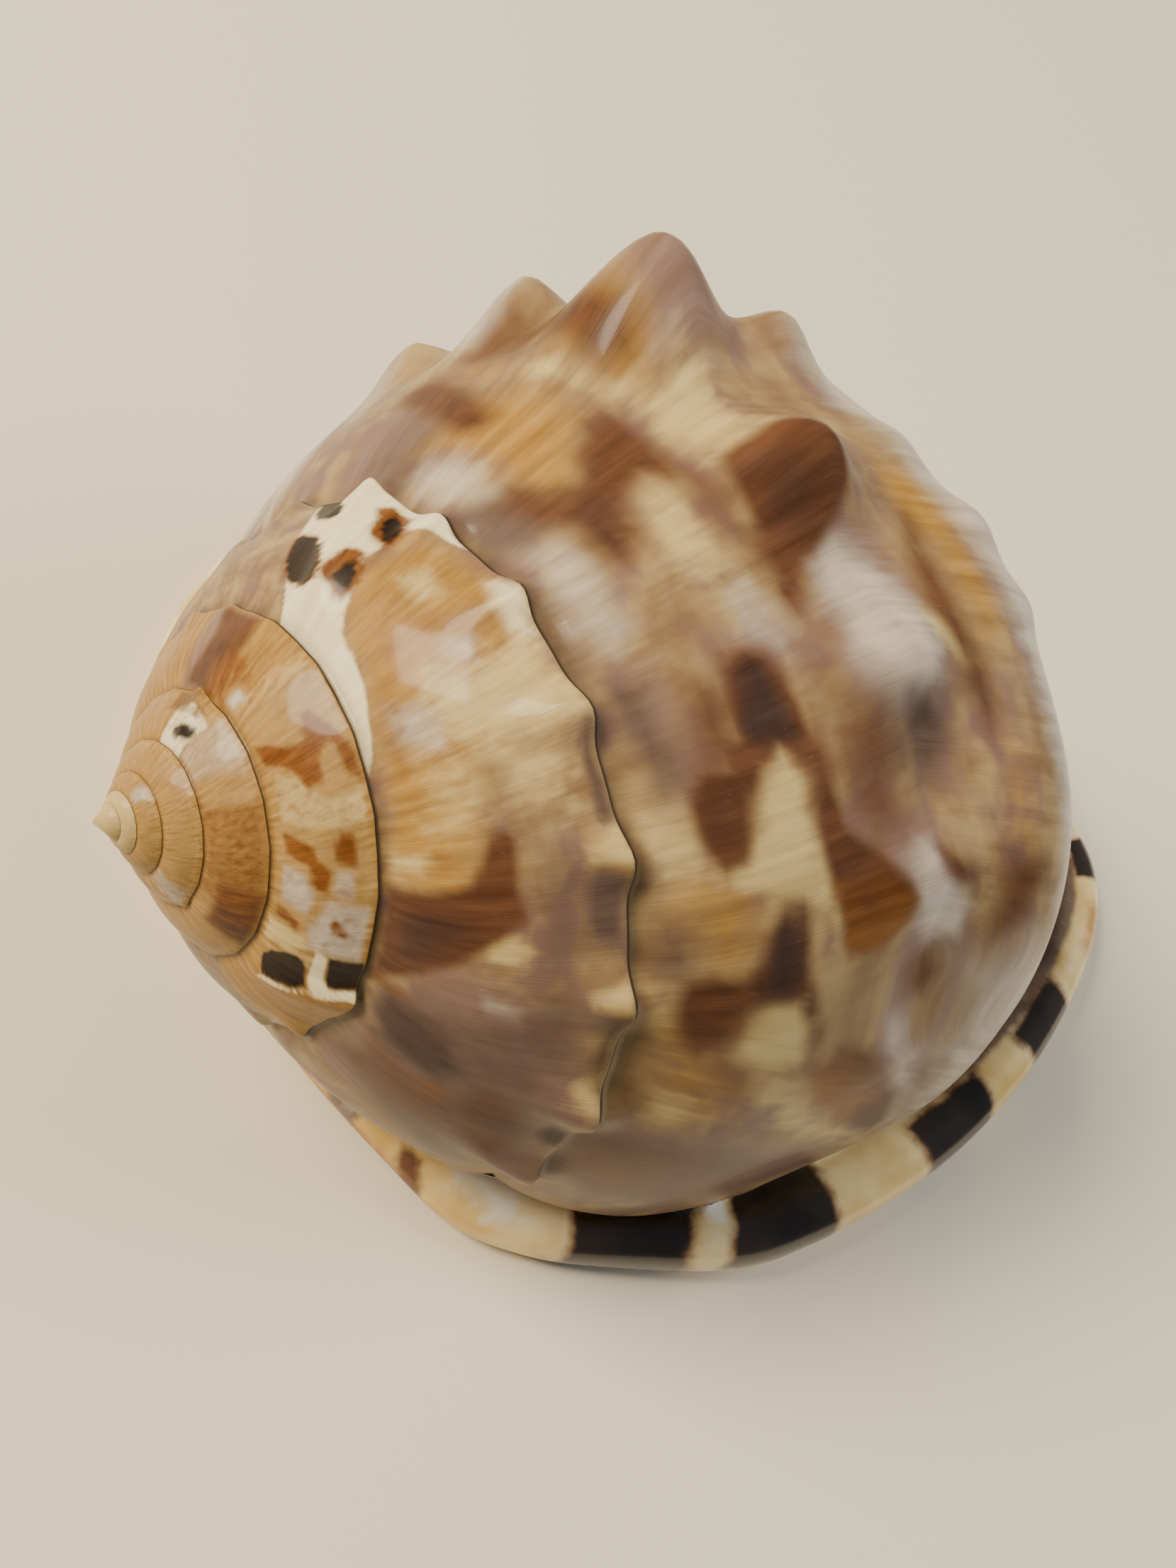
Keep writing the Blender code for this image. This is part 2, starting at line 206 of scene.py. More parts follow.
def band(around: int, whole: float, levels: list[float]) -> tuple[Faces, Growth]:
    """Quads that join rings of points, each ring with the next.

    Args:
        around: points in each ring.
        whole: growth coordinate of the whole way round.
        levels: growth coordinate of each ring.

    Returns:
        The faces, and the growth coordinates of their corners.
    """
    faces: Faces = []
    growth: Growth = []
    for n, (low, high) in enumerate(zip(levels, levels[1:])):
        i, j = n * around, (n + 1) * around
        for k in range(around):
            m = (k + 1) % around
            a, b = whole * k / around, whole * (k + 1) / around
            faces.append((i + k, i + m, j + m, j + k))
            growth += [(a, low), (b, low), (b, high), (a, high)]
    return faces, growth


@dataclass(frozen=True)
class Track:
    """Curve through stations that never overshoots them.

    Fields:
        rows: stations, each a place and its values.
    """

    rows: tuple[tuple[float, ...], ...]

    def at(self, column: int, x: Array | float) -> Array:
        """Read one column of values along the curve.

        Args:
            column: which value of each station.
            x: places along the curve.

        Returns:
            The values there.
        """
        table = np.array(self.rows, dtype=float)
        xs, ys = table[:, 0], table[:, column]
        rise = np.diff(ys) / np.diff(xs)
        slope = np.empty(len(xs))
        slope[0], slope[-1] = rise[0], rise[-1]
        before, after = rise[:-1], rise[1:]
        same = before * after > 0
        total = np.where(same, before + after, 1.0)
        slope[1:-1] = np.where(same, 2 * before * after / total, 0.0)
        x = np.clip(np.asarray(x, dtype=float), xs[0], xs[-1])
        k = np.clip(np.searchsorted(xs, x, side="right") - 1, 0, len(xs) - 2)
        width = xs[k + 1] - xs[k]
        t = (x - xs[k]) / width
        start = (2 * t**3 - 3 * t**2 + 1) * ys[k] + (t**3 - 2 * t**2 + t) * width * slope[k]
        end = (3 * t**2 - 2 * t**3) * ys[k + 1] + (t**3 - t**2) * width * slope[k + 1]
        return start + end


def to_frame(x: Array, y: Array, z: Array) -> Array:
    """Turn places measured from under the apex, in millimetres, into the frame.

    Args:
        x: distance toward the siphonal end.
        y: distance away from the lip.
        z: height.

    Returns:
        Places in metres, with the coordinates along the last axis.
    """
    x, y, z = np.broadcast_arrays(x, y, z)
    return np.stack(((x + SHIFT_X) * MM, (y + SHIFT_Y) * MM, z * MM), axis=-1)


@dataclass(frozen=True)
class Knob:
    """Blunt horn of the last whorl.

    Fields:
        angle: growth angle of its tip.
        down: share of the way down the side.
        rise: height in millimetres.
        round_width: half width round the whorl, in degrees.
        down_width: half width down the side, as a share.
    """

    angle: float
    down: float
    rise: float
    round_width: float
    down_width: float


@dataclass
class Coil:
    """The coiled skin, from the apex to the lip.

    Fields:
        detail: how finely it is divided.
        apex_height, axis_drop: height of the apex and slope of the axis.
        axis_length, lip_length: from the apex to the siphonal end, behind and at the lip.
        spire_turns: whole turns above the last whorl.
        bulge_start: growth over which the first whorl gets its arch.
        radius_growth, height_growth: logarithms of the suture's growth in a turn.
        flare_start, lean_start: growth angles from which the side flares and leans.
        ramp_bulge: arch between the sutures, as a share of their distance.
        belly_floor: lowest height of the skin.
        crown_step, crown_start: growth between the small knobs, and angle of one.
        crown_sharpness: power that points them.
        crown_below, crown_above: shares of the ramps that they reach over.
        groove_depth, groove_share: depth and place of the groove under a suture.
        varix_rise: height of the old lips, as a share of the radius.
        varix_width, varix_steep_width: growth over which their two sides sink.
        varix_lean, varix_fade: how they lean, and the share over which they rise.
        varices: their growth angles.
        belly_share, belly_width: place and half width of the belly on the side.
        crowding: how far the ramp's rows crowd at the sutures.
        ramp_knob_spread: how far the shoulder's knobs reach up the ramp.
        suture, shoulder: growth angle, radius and depth.
        side_back, side_lip: share of the side and of the radius, behind and at the lip.
        belly: growth angle and swelling of the side that rests.
        crown_rise: growth angle and rise of the small knobs.
    """

    detail: Detail
    apex_height: float = 41.8
    axis_drop: float = 17.5
    axis_length: float = 118.0
    lip_length: float = 122.0
    lip_angle: float = 112.0
    spire_turns: int = 6
    apex_tip: float = 0.1
    bulge_start: float = 200.0
    radius_growth: float = 0.495
    height_growth: float = 0.445
    flare_start: float = 10.0
    lip_lean: float = 16.0
    lean_start: float = 20.0
    ramp_bulge: float = 0.08
    belly_floor: float = 3.2
    crown_step: float = 20.4
    crown_start: float = -6.1
    crown_sharpness: float = 3.0
    crown_below: float = 0.15
    crown_above: float = 0.6
    groove_depth: float = 0.022
    groove_share: float = 0.035
    varix_rise: float = 0.055
    varix_width: float = 8.0
    varix_steep_width: float = 3.5
    belly_share: float = 0.24
    belly_width: float = 0.2
    crowding: float = 0.55
    varix_lean: float = 16.0
    varix_fade: float = 0.2
    varices: tuple[float, ...] = (-404.0, -640.0, -880.0, -1121.0, -1340.0, -1580.0)
    ramp_knob_spread: float = 0.30
    suture: Track = Track((
        (-410, 15.8, 12.0), (-230, 19.6, 15.4), (-140, 21.6, 17.9), (-80, 22.9, 20.5),
        (-50, 24.2, 21.8), (-20, 26.3, 22.9), (10, 29.2, 23.9), (40, 31.8, 25.5), (70, 33.9, 27.6),
        (112, 36.0, 30.8),
    ))
    shoulder: Track = Track((
        (-248, 36.0, 30.8), (-215, 33.4, 32.1), (-180, 31.6, 33.4), (-150, 32.6, 35.0),
        (-120, 34.6, 37.1), (-95, 36.9, 38.9), (-72, 38.2, 40.8), (-56, 39.2, 42.4),
        (-34, 39.0, 44.6), (-11, 38.2, 46.6), (14, 37.6, 50.3), (40, 39.2, 53.0), (68, 40.2, 57.0),
        (90, 43.2, 59.2), (112, 48.2, 60.5),
    ))
    side_back: Track = Track((
        (0, 1.0), (0.06, 1.0), (0.22, 0.95), (0.5, 0.69), (0.72, 0.44), (0.88, 0.28), (0.95, 0.24),
        (1, 0.13),
    ))
    side_lip: Track = Track(((0, 1.0), (0.31, 0.96), (0.65, 0.80), (0.9, 0.55), (1, 0.40)))
    belly: Track = Track((
        (-70, 0.0), (-50, 0.6), (-30, 4.4), (-8, 5.3), (10, 7.4), (30, 7.6), (60, 5.6), (90, 2.4),
        (106, 0.0),
    ))
    crown_rise: Track = Track((
        (-540, 0.01), (-500, 0.035), (-428, 0.035), (-400, 0.008), (-268, 0.008), (-246, 0.045),
        (112, 0.045),
    ))
    knobs: tuple[Knob, ...] = (
        Knob(-113, 0.0, 1.2, 5.5, 0.06), Knob(-95, 0.0, 2.2, 5.5, 0.06),
        Knob(-77, 0.0, 3.4, 5.5, 0.06), Knob(-56.5, 0.0, 4.8, 4.6, 0.07),
        Knob(-38, 0.0, 9.8, 8.4, 0.085), Knob(-11, 0.0, 5.2, 7.0, 0.07),
        Knob(14, 0.0, 3.4, 7.0, 0.07), Knob(40, 0.0, 2.0, 7.0, 0.06), Knob(68, 0.0, 1.4, 7.0, 0.06),
        Knob(-51, 0.15, 1.4, 4.5, 0.05), Knob(-31.5, 0.15, 4.2, 5.0, 0.05),
        Knob(-14, 0.20, 1.2, 4.5, 0.05), Knob(-2, 0.26, 1.4, 4.5, 0.05),
        Knob(9, 0.32, 1.2, 4.5, 0.05),
    )

    @property
    def first(self) -> float:
        """Growth angle at the apex."""
        return self.lip_angle - TURN * (self.spire_turns + 1)

    @property
    def last_turn(self) -> float:
        """Growth angle where the last whorl begins."""
        return self.lip_angle - TURN

    def place(self, angle: Array, radius: Array, depth: Array) -> Array:
        """Turn growth angle, radius and depth along the axis into places.

        Args:
            angle: growth angle, in degrees.
            radius: distance from the axis, in millimetres.
            depth: distance along the axis from the apex, in millimetres.

        Returns:
            Places in metres.
        """
        drop = np.radians(self.axis_drop)
        turn = np.radians(angle)
        up = radius * np.cos(turn)
        x = depth * np.cos(drop) + up * np.sin(drop)
        z = self.apex_height - depth * np.sin(drop) + up * np.cos(drop)
        return to_frame(x, -radius * np.sin(turn), z)

    def suture_line(self, angle: Array) -> tuple[Array, Array]:
        """Radius and depth of the line where the next whorl joins.

        Args:
            angle: growth angle, in degrees.

        Returns:
            Radius and depth, in millimetres.
        """
        back = np.minimum(angle - self.suture.rows[0][0], 0.0) / TURN
        radius = self.suture.at(1, angle) * np.exp(self.radius_growth * back)
        depth = self.suture.at(2, angle) * np.exp(self.height_growth * back)
        return radius, depth

    def crown(self, angle: Array) -> Array:
        """Rise of the pointed knobs on a suture.

        Args:
            angle: growth angle, in degrees.

        Returns:
            The rise, as a share of the suture's radius.
        """
        phase = (angle - self.crown_start) / self.crown_step
        tip = (0.5 + 0.5 * np.cos(2 * np.pi * phase)) ** self.crown_sharpness
        return self.crown_rise.at(1, angle) * tip

    def knob_rise(self, angle: Array, down: Array) -> Array:
        """Extra radius that the knobs give on the last whorl.

        Args:
            angle: growth angle, in degrees.
            down: share of the way down the side, negative above the shoulder.

        Returns:
            The rise in millimetres.
        """
        total = np.zeros(np.broadcast(angle, down).shape)
        for knob in self.knobs:
            round_part = bump(angle - knob.angle, knob.round_width)
            total += knob.rise * round_part * bump(down - knob.down, knob.down_width)
        return total

    def ramp(self, angle: Array, share: Array) -> Array:
        """Places between a whorl's upper suture and its lower edge.

        Args:
            angle: growth angle, in degrees.
            share: 0 at the upper suture, 1 at the lower edge.

        Returns:
            Places in metres.
        """
        r0, h0 = self.suture_line(angle)
        inner = angle <= self.last_turn
        r_next, h_next = self.suture_line(angle + TURN)
        r1 = np.where(inner, r_next, self.shoulder.at(1, angle))
        h1 = np.where(inner, h_next, self.shoulder.at(2, angle))
        length = np.hypot(r1 - r0, h1 - h0)
        grown = smoothstep(self.first, self.first + self.bulge_start, angle)
        arch = self.ramp_bulge * length * np.sin(np.pi * share) * grown
        sunk = share / self.groove_share
        arch = arch - self.groove_depth * length * sunk * np.exp(1.0 - sunk)
        radius = r0 + (r1 - r0) * share + arch * (h1 - h0) / length
        depth = h0 + (h1 - h0) * share - arch * (r1 - r0) / length
        here = angle - self.varix_lean * (1.0 - share)
        ridges = np.zeros(np.broadcast(angle, share).shape)
        for at in self.varices:
            width = np.where(here < at, self.varix_steep_width, self.varix_width)
            ridges += np.exp(-(((here - at) / width) ** 2))
        radius = radius + r1 * self.varix_rise * smoothstep(0.0, self.varix_fade, share) * ridges
        radius = radius + r0 * self.crown(angle) * (1.0 - smoothstep(0.0, self.crown_below, share))
        below = r1 * self.crown(angle + TURN) * smoothstep(self.crown_above, 1.0, share)
        radius = radius + np.where(inner, below, 0.0)
        knobs = self.knob_rise(angle, self.ramp_knob_spread * (share - 1.0))
        return self.place(angle, radius + np.where(angle > self.last_turn, knobs, 0.0), depth)

    def side(self, angle: Array, share: Array) -> Array:
        """Places between the shoulder and the siphonal end.

        Args:
            angle: growth angle, in degrees.
            share: 0 at the shoulder, 1 at the siphonal end.

        Returns:
            Places in metres.
        """
        r0, h0 = self.shoulder.at(1, angle), self.shoulder.at(2, angle)
        flare = smoothstep(self.flare_start, self.lip_angle, angle)
        shape = (1 - flare) * self.side_back.at(1, share) + flare * self.side_lip.at(1, share)
        lean = self.lip_lean * share * smoothstep(self.lean_start, self.lip_angle, angle)
        radius = r0 * shape + self.knob_rise(angle, share)
        swell = bump(share - self.belly_share, self.belly_width)
        swell = np.maximum(swell - bump(self.belly_share, self.belly_width), 0.0)
        radius = radius + self.belly.at(1, angle) * swell
        reach = self.axis_length + (self.lip_length - self.axis_length) * flare
        spots = self.place(angle - lean, radius, h0 + (reach - h0) * share)
        spots[..., 2] = np.maximum(spots[..., 2], self.belly_floor * MM)
        return spots

    def build(self) -> Solid:
        """Make the skin, closed at the apex, the siphonal end and the lip step.

        Returns:
            The closed solid with its growth coordinates.
        """
        rows, sides = self.detail.ramp_rows, self.detail.side_rows
        per_turn = int(round(TURN / self.detail.step))
        count = per_turn * (self.spire_turns + 1)
        angles = self.first + self.detail.step * np.arange(count + 1)
        even = np.linspace(0.0, 1.0, rows + 1)
        ramp_shares = even - self.crowding * np.sin(2 * np.pi * even) / (2 * np.pi)
        side_shares = np.linspace(0.0, 1.0, sides + 1)[1:]
        ramp = self.ramp(angles[:, None], ramp_shares[None, :])
        last = np.arange(count - per_turn, count + 1)
        side = self.side(angles[last][:, None], side_shares[None, :])
        points: list[Array] = []
        columns: list[list[int]] = []
        for i in range(count + 1):
            shared = [columns[i - per_turn][rows]] if i >= per_turn else []
            fresh = list(ramp[i])[len(shared):]
            if i >= count - per_turn:
                fresh += list(side[i - (count - per_turn)])
            columns.append(shared + list(range(len(points), len(points) + len(fresh))))
            points += fresh
        apex, tip = len(points), len(points) + 1
        points += [self.place(0.0, 0.0, depth) for depth in (-self.apex_tip, self.axis_length)]
        shares = np.concatenate((ramp_shares, 1.0 + side_shares))
        faces: Faces = []
        growth: Growth = []
        for i in range(count):
            left, right = columns[i], columns[i + 1]
            a, b = angles[i], angles[i + 1]
            for j in range(min(len(left), len(right)) - 1):
                faces.append((left[j], left[j + 1], right[j + 1], right[j]))
                s, t = shares[j], shares[j + 1]
                growth += [(a, s), (a, t), (b, t), (b, s)]
        crown = [column[0] for column in columns[: per_turn + 1]] + columns[0][rows - 1 : 0 : -1]
        for a, b in zip(crown, crown[1:] + crown[:1]):
            faces.append((apex, a, b))
            growth += [(self.first, 0.5)] * 3
        start, end = columns[-1 - per_turn], columns[-1]
        for left, right in zip(columns[-1 - per_turn :], columns[-per_turn:]):
            faces.append((tip, left[-1], right[-1]))
            growth += [(self.last_turn, 2.0)] * 3
        for j in range(1, rows):
            faces.append((start[rows], end[j], end[j + 1]))
            growth += [(self.lip_angle, 1.0)] * 3
        for j in range(rows, rows + sides):
            if start[j] != end[j]:
                faces.append((start[j], end[j], end[j + 1], start[j + 1]))
                growth += [(self.lip_angle, 1.5)] * 4
        faces.append((start[-1], end[-1], tip))
        growth += [(self.lip_angle, 2.0)] * 3
        return Solid(np.array(points), faces, growth, Region.SKIN)


def closed_spline(rows: Array, share: Array) -> Array:
    """Follow a closed smooth curve through evenly counted rows.

    Args:
        rows: one row of values for each point that the curve passes.
        share: shares of the way round.

    Returns:
        One row of values for each share.
    """
    count = len(rows)
    at = np.asarray(share, dtype=float) * count
    k = np.floor(at).astype(int)
    t = (at - k)[:, None]
    return bend(*(rows[(k + step) % count] for step in (-1, 0, 1, 2)), t)


@dataclass
class LipAndShield:
    """Rolled outer lip and parietal shield, as one plate on the resting plane.

    Fields:
        detail: how finely it is divided.
        centre: x from the apex and y of the plate's middle.
        top: height of its middle inside the whorl.
        bottom: height of its middle underneath.
        spread: width of the section, as a factor of its stations.
        spread_growth: how much wider it gets with each millimetre of thickness.
        section_end: last place along the rim's section.
        section_step: distance between rings on the rim.
        inner_rings: rings between the rim and the middle, above and below.
        crowding: power that crowds these rings toward the rim.
        outline: x from the apex, y and rim thickness of each outline point.
        section: place along the rim's section, inset, height, height as a share
            of the thickness.
    """

    detail: Detail
    centre: tuple[float, float] = (68.0, -8.0)
    top: float = 13.0
    bottom: float = 2.0
    spread: float = 0.55
    spread_growth: float = 0.05
    section_end: float = 10.0
    section_step: float = 0.3
    inner_rings: int = 9
    crowding: float = 1.2
    outline: tuple[Triple, ...] = (
        (9.5, 11.8, 3.4), (11.6, 20.5, 3.4), (15.5, 27.6, 3.4), (21.8, 36.0, 3.4),
        (30.5, 42.0, 3.4), (42.0, 45.2, 3.4), (57.0, 44.4, 3.4), (72.0, 38.6, 3.4),
        (86.0, 29.0, 3.6), (98.0, 18.6, 4.2), (108.0, 8.6, 5.0), (114.6, 0.0, 6.0),
        (117.0, -7.4, 6.6), (119.2, -14.2, 7.0), (120.8, -20.8, 7.4), (119.8, -27.2, 7.8),
        (115.4, -33.8, 8.2), (107.2, -40.2, 8.4), (96.6, -46.0, 8.8), (84.7, -50.2, 9.2),
        (72.9, -52.3, 9.6), (61.8, -52.9, 9.6), (52.6, -51.8, 9.2), (39.5, -46.3, 7.4),
        (32.3, -42.1, 5.6), (26.8, -36.8, 4.4), (22.1, -27.4, 4.0), (18.1, -18.1, 3.8),
        (15.3, -9.7, 3.6), (11.0, 0.0, 3.4),
    )
    section: Track = Track((
        (0, 12.0, 1.0, 0.0), (1, 8.0, 0.0, 0.0), (2, 2.4, 0.0, 0.0), (3, 0.7, 0.0, 0.2),
        (4, 0.0, 0.0, 0.48), (5, 0.5, 0.0, 0.76), (6, 1.9, 0.0, 0.94), (7, 4.0, 0.0, 1.0),
        (8, 6.2, 0.0, 0.94), (9, 8.2, 0.0, 0.8), (10, 12.0, 0.0, 1.0),
    ))

    def rim(self, share: Array, t: Array) -> Array:
        """Places on the rim, in millimetres from under the apex.

        Args:
            share: shares of the way round the outline.
            t: places along the section, of the same length.

        Returns:
            One row of x, y and z for each share.
        """
        rows = np.array(self.outline)
        spot = closed_spline(rows, share)
        nudge = 0.25 / self.detail.around
        along = closed_spline(rows, share + nudge)[:, :2] - closed_spline(rows, share - nudge)[:, :2]
        along /= np.linalg.norm(along, axis=1, keepdims=True)
        inward = np.stack((along[:, 1], -along[:, 0]), axis=1)
        thick = spot[:, 2]
        inset = self.section.at(1, t) * (self.spread + self.spread_growth * thick)
        place = spot[:, :2] + inward * inset[:, None]
        height = self.section.at(2, t) + self.section.at(3, t) * thick
        return np.column_stack((place, height))

    def cap(self, edge: Array, height: float, shares: Array) -> list[Array]:
        """Rings that close an edge toward the plate's centre.

        Args:
            edge: the ring that they start from.
            height: height of the centre.
            shares: how far toward the centre each ring lies.

        Returns:
            One ring for each share.
        """
        goal = np.array((*self.centre, height))
        return [edge + (goal - edge) * w for w in shares]

    def build(self) -> Solid:
        """Make the rim, and close it above and below toward its centre.

        Returns:
            The closed solid. Its growth coordinates are outline rows and section.
        """
        around = self.detail.around
        share = np.arange(around) / around
        count = int(round(self.section_end / self.section_step))
        steps = np.linspace(0.0, self.section_end, count + 1)
        inward = (np.arange(1, self.inner_rings + 1) / (self.inner_rings + 1.0)) ** self.crowding
        walls = [self.rim(share, np.full(around, t)) for t in steps]
        under = self.cap(walls[0], self.bottom, inward[::-1])
        over = self.cap(walls[-1], self.top, inward)
        levels = [-w for w in inward[::-1]] + list(steps) + [self.section_end + w for w in inward]
        middles = np.array([(*self.centre, self.bottom), (*self.centre, self.top)])
        flat = np.concatenate(under + walls + over + [middles])
        points = to_frame(flat[:, 0], flat[:, 1], flat[:, 2])
        rows = len(self.outline)
        faces, growth = band(around, rows, levels)
        bottom, top = len(points) - 2, len(points) - 1
        for k in range(around):
            m = (k + 1) % around
            a, b = rows * k / around, rows * (k + 1) / around
            faces.append((bottom, k, m))
            growth += [(a, -1.0), (a, levels[0]), (b, levels[0])]
            j = (len(levels) - 1) * around
            faces.append((top, j + k, j + m))
            growth += [(a, self.section_end + 1.0), (a, levels[-1]), (b, levels[-1])]
        return Solid(points, faces, growth, Region.RIM)


@dataclass
class Tube:
    """Round tube along a bent path.

    Fields:
        detail: how finely it is divided.
        stations: x from the apex, y, z and radius of each station.
        region: what its surface belongs to.
        between: rings from one station to the next.
    """

    detail: Detail
    stations: tuple[tuple[float, float, float, float], ...]
    region: Region
    between: int = 5

    def build(self) -> Solid:
        """Sweep the tube and close both ends.

        Returns:
            The closed solid. Its growth coordinates are turn and share of length.
        """
        rows = np.array(self.stations)
        rows = np.concatenate((2 * rows[:1] - rows[1:2], rows, 2 * rows[-1:] - rows[-2:-1]))
        path = []
        for k in range(1, len(rows) - 2):
            for t in np.arange(self.between) / self.between:
                path.append(bend(*rows[k - 1 : k + 3], t))
        path.append(rows[-2])
        line = np.array(path)
        around = self.detail.tube
        turn = 2 * np.pi * np.arange(around) / around
        rings = []
        for k in range(len(line)):
            ahead = line[min(k + 1, len(line) - 1), :3] - line[max(k - 1, 0), :3]
            ahead /= np.linalg.norm(ahead)
            across = np.array((0.0, 1.0, 0.0))
            across = across - ahead * across.dot(ahead)
            across /= np.linalg.norm(across)
            other = np.cross(ahead, across)
            circle = np.outer(np.cos(turn), across) + np.outer(np.sin(turn), other)
            rings.append(line[k, :3] + circle * line[k, 3])
        flat = np.concatenate(rings)
        faces, growth = band(around, TURN, [n / (len(rings) - 1) for n in range(len(rings))])
        last = (len(rings) - 1) * around
        for first, share in ((0, 0.0), (last, 1.0)):
            faces.append(tuple(range(first, first + around)))
            growth += [(TURN * k / around, share) for k in range(around)]
        return Solid(to_frame(flat[:, 0], flat[:, 1], flat[:, 2]), faces, growth, self.region)


CANAL_STATIONS = (
    (94.0, -12.0, 12.5, 10.5), (101.5, -10.8, 11.2, 9.8), (106.6, -9.8, 12.6, 8.2),
    (107.4, -9.4, 15.6, 6.8), (106.4, -9.0, 18.2, 5.4), (105.8, -8.8, 19.2, 3.6),
)
GROOVE_STATIONS = (
    (104.0, -19.5, -5.0, 3.4), (111.5, -15.8, -1.5, 4.0), (117.4, -13.0, 2.8, 4.4),
    (118.2, -11.6, 8.0, 4.4), (115.4, -10.4, 12.8, 3.8), (113.2, -9.8, 17.0, 3.6),
    (110.6, -9.0, 22.5, 3.1),
)


@dataclass
class Aperture:
    """Slit between lip and columella, and the hollow of the last whorl over it.

    Fields:
        detail: how finely it is divided.
        mouth: x from the apex, y of the lip side, y of the columella side.
        levels: height, shift of the lip side, of the columella side, of the rear
            end and of the siphonal end.
        level_step: height between its rings.
        sight: how far up the slit the skin of older whorls shows, in millimetres.
    """

    detail: Detail
    mouth: Track = Track((
        (38, -36.0, -31.0), (46, -39.6, -29.6), (56, -41.2, -29.2), (68, -41.4, -28.8),
        (80, -39.6, -27.2), (92, -35.2, -23.6), (103, -29.0, -18.4), (112, -22.0, -13.0),
        (116, -17.4, -11.6),
    ))
    levels: Track = Track((
        (-2.0, 0.0, 0.0, 0.0, 0.0), (5.0, 0.0, 0.0, 0.0, -2.0), (12.0, -0.6, 1.5, 5.0, -20.0),
        (22.0, 1.5, 3.0, 12.0, -30.0), (32.0, 5.0, 7.0, 18.0, -40.0),
        (41.0, 12.0, 13.0, 25.0, -50.0),
    ))
    level_step: float = 1.0
    sight: float = 24.0

    def edge(self, column: int, x: Array) -> Array:
        """Side of the slit on the resting plane.

        Args:
            column: 1 for the lip side, 2 for the columella side.
            x: distances from the apex, in millimetres.

        Returns:
            The y of that side.
        """
        return self.mouth.at(column, x)

    def shows(self, centres: Array) -> Array:
        """Tell what lies right over the slit.

        Args:
            centres: x, y and z of the middle of each face, in metres.

        Returns:
            Whether each face can be seen up through the slit.
        """
        x, y, z = (centres[:, k] / MM for k in range(3))
        x, y = x - SHIFT_X, y - SHIFT_Y
        over = (x > self.mouth.rows[0][0]) & (x < self.mouth.rows[-1][0])
        return over & (y > self.edge(1, x)) & (y < self.edge(2, x)) & (z < self.sight)

    def build(self) -> Solid:
        """Make the solid that is cut away.

        Returns:
            The closed solid. Its growth coordinates are x from the apex and height.
        """
        across = self.detail.tube
        rear, front = self.mouth.rows[0][0], self.mouth.rows[-1][0]
        bottom, top = self.levels.rows[0][0], self.levels.rows[-1][0]
        heights = np.linspace(bottom, top, int((top - bottom) / self.level_step) + 1)
        shares = np.arange(across + 1) / across
        rings = []
        for level in heights:
            lip, wall, back, ahead = (float(self.levels.at(c, level)) for c in (1, 2, 3, 4))
            x = (rear + back) + (front + ahead - rear - back) * shares
            sides = ((x, self.edge(1, x) + lip), (x[::-1], self.edge(2, x[::-1]) + wall))
            rings += [np.column_stack((a, b, np.full(len(a), level))) for a, b in sides]
        count = 2 * (across + 1)
        flat = np.concatenate(rings)
        faces, _ = band(count, 1.0, list(heights))
        for n in (0, len(heights) - 1):
            for k in range(across):
                corners = (k, k + 1, count - 2 - k, count - 1 - k)
                faces.append(tuple(n * count + c for c in corners))
        growth = [(flat[c, 0], flat[c, 2]) for face in faces for c in face]
        return Solid(to_frame(flat[:, 0], flat[:, 1], flat[:, 2]), faces, growth, Region.HOLLOW)


class Fusion(Enum):
    """What happens to the grown solid with the next one."""

    UNION = "UNION"
    DIFFERENCE = "DIFFERENCE"


def stand(name: str, data: bpy.types.ID) -> bpy.types.Object:
    """Make an object of a mesh, curve, light or camera, and link it to the scene."""
    thing = bpy.data.objects.new(name, data)
    bpy.context.scene.collection.objects.link(thing)
    return thing


def as_object(name: str, solid: Solid) -> bpy.types.Object:
    """Make a mesh object of a solid, with every face turned outward.

    Args:
        name: the object's name.
        solid: points, faces and growth coordinates.

    Returns:
        The new object, linked to the scene.
    """
    mesh = bpy.data.meshes.new(name)
    mesh.from_pydata([tuple(p) for p in solid.points], [], solid.faces)
    layer = mesh.uv_layers.new(name="growth")
    layer.data.foreach_set("uv", np.array(solid.growth, dtype=np.float32).ravel())
    tag = mesh.attributes.new("region", "INT", "FACE")
    tag.data.foreach_set("value", np.full(len(solid.faces), solid.region.value, dtype=np.int32))
    work = bmesh.new()
    work.from_mesh(mesh)
    bmesh.ops.recalc_face_normals(work, faces=work.faces)
    work.to_mesh(mesh)
    work.free()
    return stand(name, mesh)


def evaluated_copy(thing: bpy.types.Object) -> bpy.types.Mesh:
    """Plain mesh of an object as its modifiers leave it.

    Args:
        thing: the object.

    Returns:
        A new mesh.
    """
    graph = bpy.context.evaluated_depsgraph_get()
    return bpy.data.meshes.new_from_object(thing.evaluated_get(graph))


